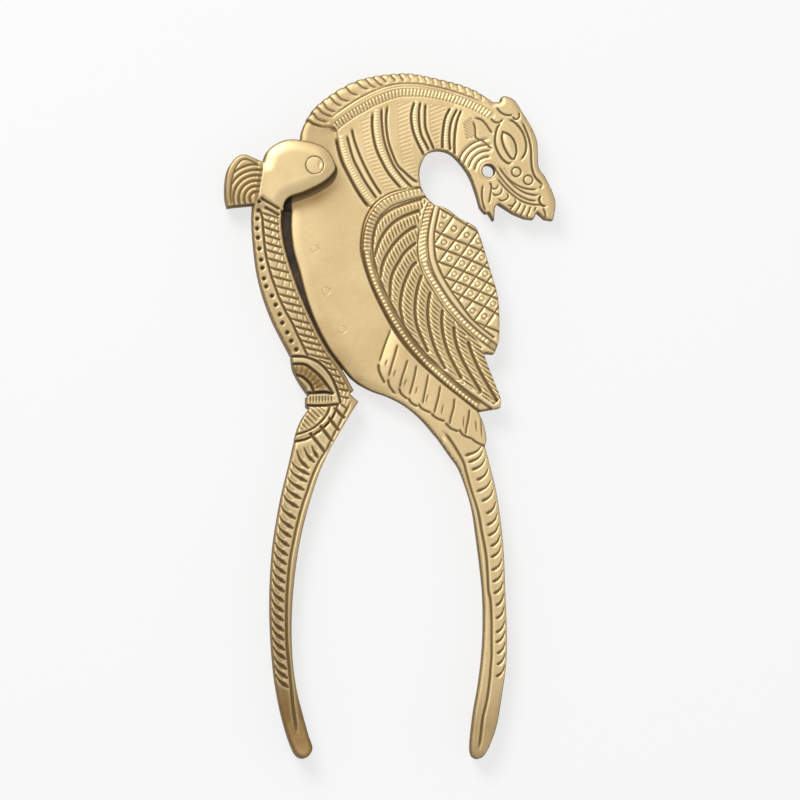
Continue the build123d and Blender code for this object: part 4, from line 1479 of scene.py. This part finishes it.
class Wire:
    """One socket of a material; sums and products of wires add the Math nodes that work them out."""

    def __init__(self, tree, socket=None):
        self.tree = tree
        self.socket = socket

    def node(self, kind, settings=None, values=None, output=0):
        """Add a node, set it up, link or set its inputs, and return one of its outputs."""
        made = self.tree.nodes.new(kind)
        for name, value in (settings or {}).items():
            setattr(made, name, value)
        for name, value in (values or {}).items():
            if isinstance(value, Wire):
                self.tree.links.new(value.socket, made.inputs[name])
            else:
                made.inputs[name].default_value = value
        return Wire(self.tree, made.outputs[output]) if made.outputs else made

    def maths(self, operation, *terms):
        """A Math node on this wire and other wires or numbers."""
        return self.node("ShaderNodeMath", {"operation": operation}, dict(enumerate((self,) + terms)))

    def __add__(self, other):
        return self.maths("ADD", other)

    __radd__ = __add__

    def __sub__(self, other):
        return self.maths("SUBTRACT", other)

    def __rsub__(self, other):
        return (self * -1) + other

    def __mul__(self, other):
        return self.maths("MULTIPLY", other)

    __rmul__ = __mul__

    def smoothly(self, low, high):
        """0 below low, 1 above high and a smooth rise between them."""
        return self.node(
            "ShaderNodeMapRange", {"interpolation_type": "SMOOTHSTEP"},
            {"Value": self, "From Min": low, "From Max": high, "To Min": 0.0, "To Max": 1.0},
        )

    def between(self, first, second):
        """A colour between two colours, by this wire as the second one's share."""
        share_input, first_input, second_input, colour_output = 0, 6, 7, 2
        values = {share_input: self, first_input: first, second_input: second}
        return self.node("ShaderNodeMix", {"data_type": "RGBA"}, values, output=colour_output)

    def noise(self, place, scale, detail, roughness=0.5):
        """A cloudy pattern of a scale to the metre."""
        values = {"Vector": place, "Scale": scale, "Detail": detail, "Roughness": roughness}
        return self.node("ShaderNodeTexNoise", None, values)


def new_material(name):
    """An empty node material, and a wire that its nodes start from."""
    material = bpy.data.materials.new(name)
    material.use_nodes = True
    material.node_tree.nodes.clear()
    return material, Wire(material.node_tree)


# Colours of the brass and the steel; the tarnish, the brown and the black are patina and also painted shade
pale_brass = (0.86, 0.665, 0.355, 1)
deep_brass = (0.75, 0.56, 0.285, 1)
rubbed_brass = (0.93, 0.78, 0.46, 1)
tarnish_and_shade = (0.27, 0.158, 0.05, 1)
brown_dirt_and_shade = (0.16, 0.092, 0.027, 1)
black_dirt_and_shade = (0.022, 0.012, 0.006, 1)
dark_steel = (0.045, 0.034, 0.026, 1)
rusty_steel = (0.11, 0.075, 0.045, 1)


def brass_material():
    """Chased brass: polished on the high places, brown in the cuts, mottled and finely scratched; the same browns
    paint shade on the walls, rims, belly edges, jaw gap and under the ear.
    """
    material, wire = new_material("chased_brass")
    place = wire.node("ShaderNodeTexCoord", output="Object")
    recess_and_shade, basin_and_shade, stain_and_shade = (
        wire.node("ShaderNodeAttribute", {"attribute_name": mark}, output="Fac")
        for mark in ("recess_and_shade", "basin_and_shade", "stain_and_shade")
    )
    mottle = wire.noise(place, scale=55.0, detail=4.0, roughness=0.55)
    grain = wire.noise(place, scale=900.0, detail=3.0, roughness=0.6)
    # The brown and black mixes hold patina in the cuts and also the painted shade of the walls, rims, belly edges,
    # jaw gap and the ear's shadow
    dirt_and_shade = (recess_and_shade * 5.7 + basin_and_shade * 1.4 + (mottle - 0.5) * 0.3 + stain_and_shade * 0.1).smoothly(0.02, 1.05)
    black_soot_and_shade = (recess_and_shade * 2.4 + basin_and_shade * 0.8).smoothly(0.7, 1.6)
    worn = (recess_and_shade * -7.0 + (mottle - 0.5) * 0.6).smoothly(0.1, 1.2)
    plain = mottle.smoothly(0.35, 0.7).between(pale_brass, deep_brass)
    tarnished_and_shaded = (stain_and_shade + (mottle - 0.5) * stain_and_shade).smoothly(0.0, 1.15).between(plain, tarnish_and_shade)
    bright = (worn * (1.0 - stain_and_shade * 0.55)).between(tarnished_and_shaded, rubbed_brass)
    browned_and_shaded = (dirt_and_shade * 0.92).between(bright, brown_dirt_and_shade)
    bump = wire.node("ShaderNodeBump", None, {"Strength": 0.12, "Distance": 0.00012, "Height": grain})
    shader = wire.node("ShaderNodeBsdfPrincipled", None, {
        "Base Color": black_soot_and_shade.between(browned_and_shaded, black_dirt_and_shade),
        "Metallic": 0.8 - dirt_and_shade * 0.4,
        "Roughness": 0.48 + dirt_and_shade * 0.2 + (grain - 0.5) * 0.16,
        "Normal": bump,
    })
    wire.node("ShaderNodeOutputMaterial", None, {"Surface": shader})
    return material


def steel_material():
    """Dark browned steel with faint draw marks from the grinding."""
    material, wire = new_material("browned_steel")
    place = wire.node("ShaderNodeTexCoord", output="Object")
    cloud = wire.noise(place, scale=140.0, detail=5.0, roughness=0.6)
    stretched = wire.node("ShaderNodeMapping", None, {"Vector": place, "Scale": (2600.0, 160.0, 400.0)})
    marks = wire.noise(stretched, scale=1.0, detail=2.0)
    bump = wire.node("ShaderNodeBump", None, {"Strength": 0.1, "Distance": 0.0001, "Height": marks})
    shader = wire.node("ShaderNodeBsdfPrincipled", None, {
        "Base Color": cloud.smoothly(0.35, 0.7).between(dark_steel, rusty_steel),
        "Metallic": 0.8,
        "Roughness": 0.42 + (marks - 0.5) * 0.3,
        "Normal": bump,
    })
    wire.node("ShaderNodeOutputMaterial", None, {"Surface": shader})
    return material


def floor_material():
    """A pale floor that the camera and reflections see nearly white, with the cutter's shadow on it."""
    material, wire = new_material("pale_floor")
    seen = wire.node("ShaderNodeLightPath", output="Is Camera Ray")
    for ray in ("Is Glossy Ray", "Is Transmission Ray"):
        seen = seen.maths("MAXIMUM", wire.node("ShaderNodeLightPath", output=ray))
    paint = wire.node("ShaderNodeBsdfDiffuse", None, {"Color": (0.82, 0.82, 0.82, 1)})
    glow = wire.node("ShaderNodeEmission", None, {"Color": (1, 1, 1, 1), "Strength": 1.0})
    mixed = wire.node("ShaderNodeMixShader", None, {"Fac": seen * 0.7, 1: paint, 2: glow})
    wire.node("ShaderNodeOutputMaterial", None, {"Surface": mixed})
    return material


# The stage, in metres and watts; each lamp has its place from the aim, its size and its power
floor_size = 6
room_light = 0.49
lamp_aim = Vector((0.023, -0.062, 0.005))
lamps = {
    "window": ((-0.42, 0.62, 0.92), 0.55, 9.2),
    "bounce": ((0.8, -0.3, 0.6), 0.8, 0.8),
}

# The camera: leans in degrees, lengths in metres, the picture in pixels and the sensor in millimetres
lean_across = 5
lean_along = 4
view_distance = 3.0
frame_width = 800
sensor_width = 36
drawn_height = 0.003
lens_correction = 1.003


def build_stage():
    """The floor, the light and the camera."""
    bpy.ops.mesh.primitive_plane_add(size=floor_size, location=(0, 0, 0))
    floor = bpy.context.object
    floor.name = "floor"
    floor.data.materials.append(floor_material())
    light_room()
    place_camera()
    bpy.context.scene.view_settings.view_transform = "Standard"


def light_room():
    """An even white room with a large window lamp and a weak lamp from the other side."""
    world = bpy.data.worlds.new("room")
    world.use_nodes = True
    world.node_tree.nodes["Background"].inputs["Color"].default_value = (1, 1, 1, 1)
    world.node_tree.nodes["Background"].inputs["Strength"].default_value = room_light
    bpy.context.scene.world = world
    for name, (offset, size, power) in lamps.items():
        lamp = bpy.data.lights.new(name, "AREA")
        lamp.shape = "SQUARE"
        lamp.size = size
        lamp.energy = power
        lamp_object = bpy.data.objects.new(name, lamp)
        lamp_object.location = lamp_aim + Vector(offset)
        lamp_object.rotation_euler = (-Vector(offset)).to_track_quat("-Z", "Y").to_euler()
        bpy.context.scene.collection.objects.link(lamp_object)


def place_camera():
    """A camera that leans a little off the vertical and draws one of the photograph's pixels as one pixel."""
    offset = (view_centre_pixel - hinge_pixel) * pixel_size
    target = Vector((offset[0], -offset[1], middle_height + drawn_height))
    across = math.tan(math.radians(lean_across))
    along = math.tan(math.radians(lean_along))
    direction = Vector((-across, -along, 1)).normalized()
    camera = bpy.data.cameras.new("camera")
    camera.sensor_width = sensor_width
    camera.lens = view_distance / (frame_width * pixel_size) * sensor_width * lens_correction
    camera_object = bpy.data.objects.new("camera", camera)
    right = Vector((0, 1, 0)).cross(direction).normalized()
    turn = Matrix((right, direction.cross(right), direction)).transposed()
    camera_object.matrix_world = Matrix.Translation(target + direction * view_distance) @ turn.to_4x4()
    bpy.context.scene.collection.objects.link(camera_object)
    bpy.context.scene.camera = camera_object


build_stage()
brass = brass_material()
steel = steel_material()

bird_lever = make_bird_lever()
bird_lever.data.materials.append(brass)
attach(bird_lever, "blade_arm")
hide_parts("bird_lever")

anvil_lever = make_anvil_lever()
anvil_lever.data.materials.append(brass)
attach(anvil_lever, "anvil_arm")
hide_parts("anvil_lever")

pivot_dent = ((318.3, 165.2), 2.6, 4.8, 0.16)
pivot_half = ear_half - 0.02
pivot_dome = 0.05
pivot_rivet = make_rivet("peened_pivot", hinge_pixel, pivot_radius, pivot_half, pivot_dome, [pivot_dent])
pivot_rivet.data.materials.append(brass)
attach(pivot_rivet, "anvil_arm")
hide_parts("pivot_rivet")

rubbed_radius = blade_rivet_radius - 0.01
rubbed_half = tongue_half + 0.005
rubbed_dome = 0.01
for name, place in zip(blade_rivet_names, blade_rivet_pixels):
    rivet = make_rivet("rubbed_" + name, place, rubbed_radius, rubbed_half, rubbed_dome, [])
    rivet.data.materials.append(brass)
    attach(rivet, "blade_arm")
    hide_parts(name)

blade = frame["nodes"]["cutting_blade"]
blade.data.materials.clear()
blade.data.materials.append(steel)
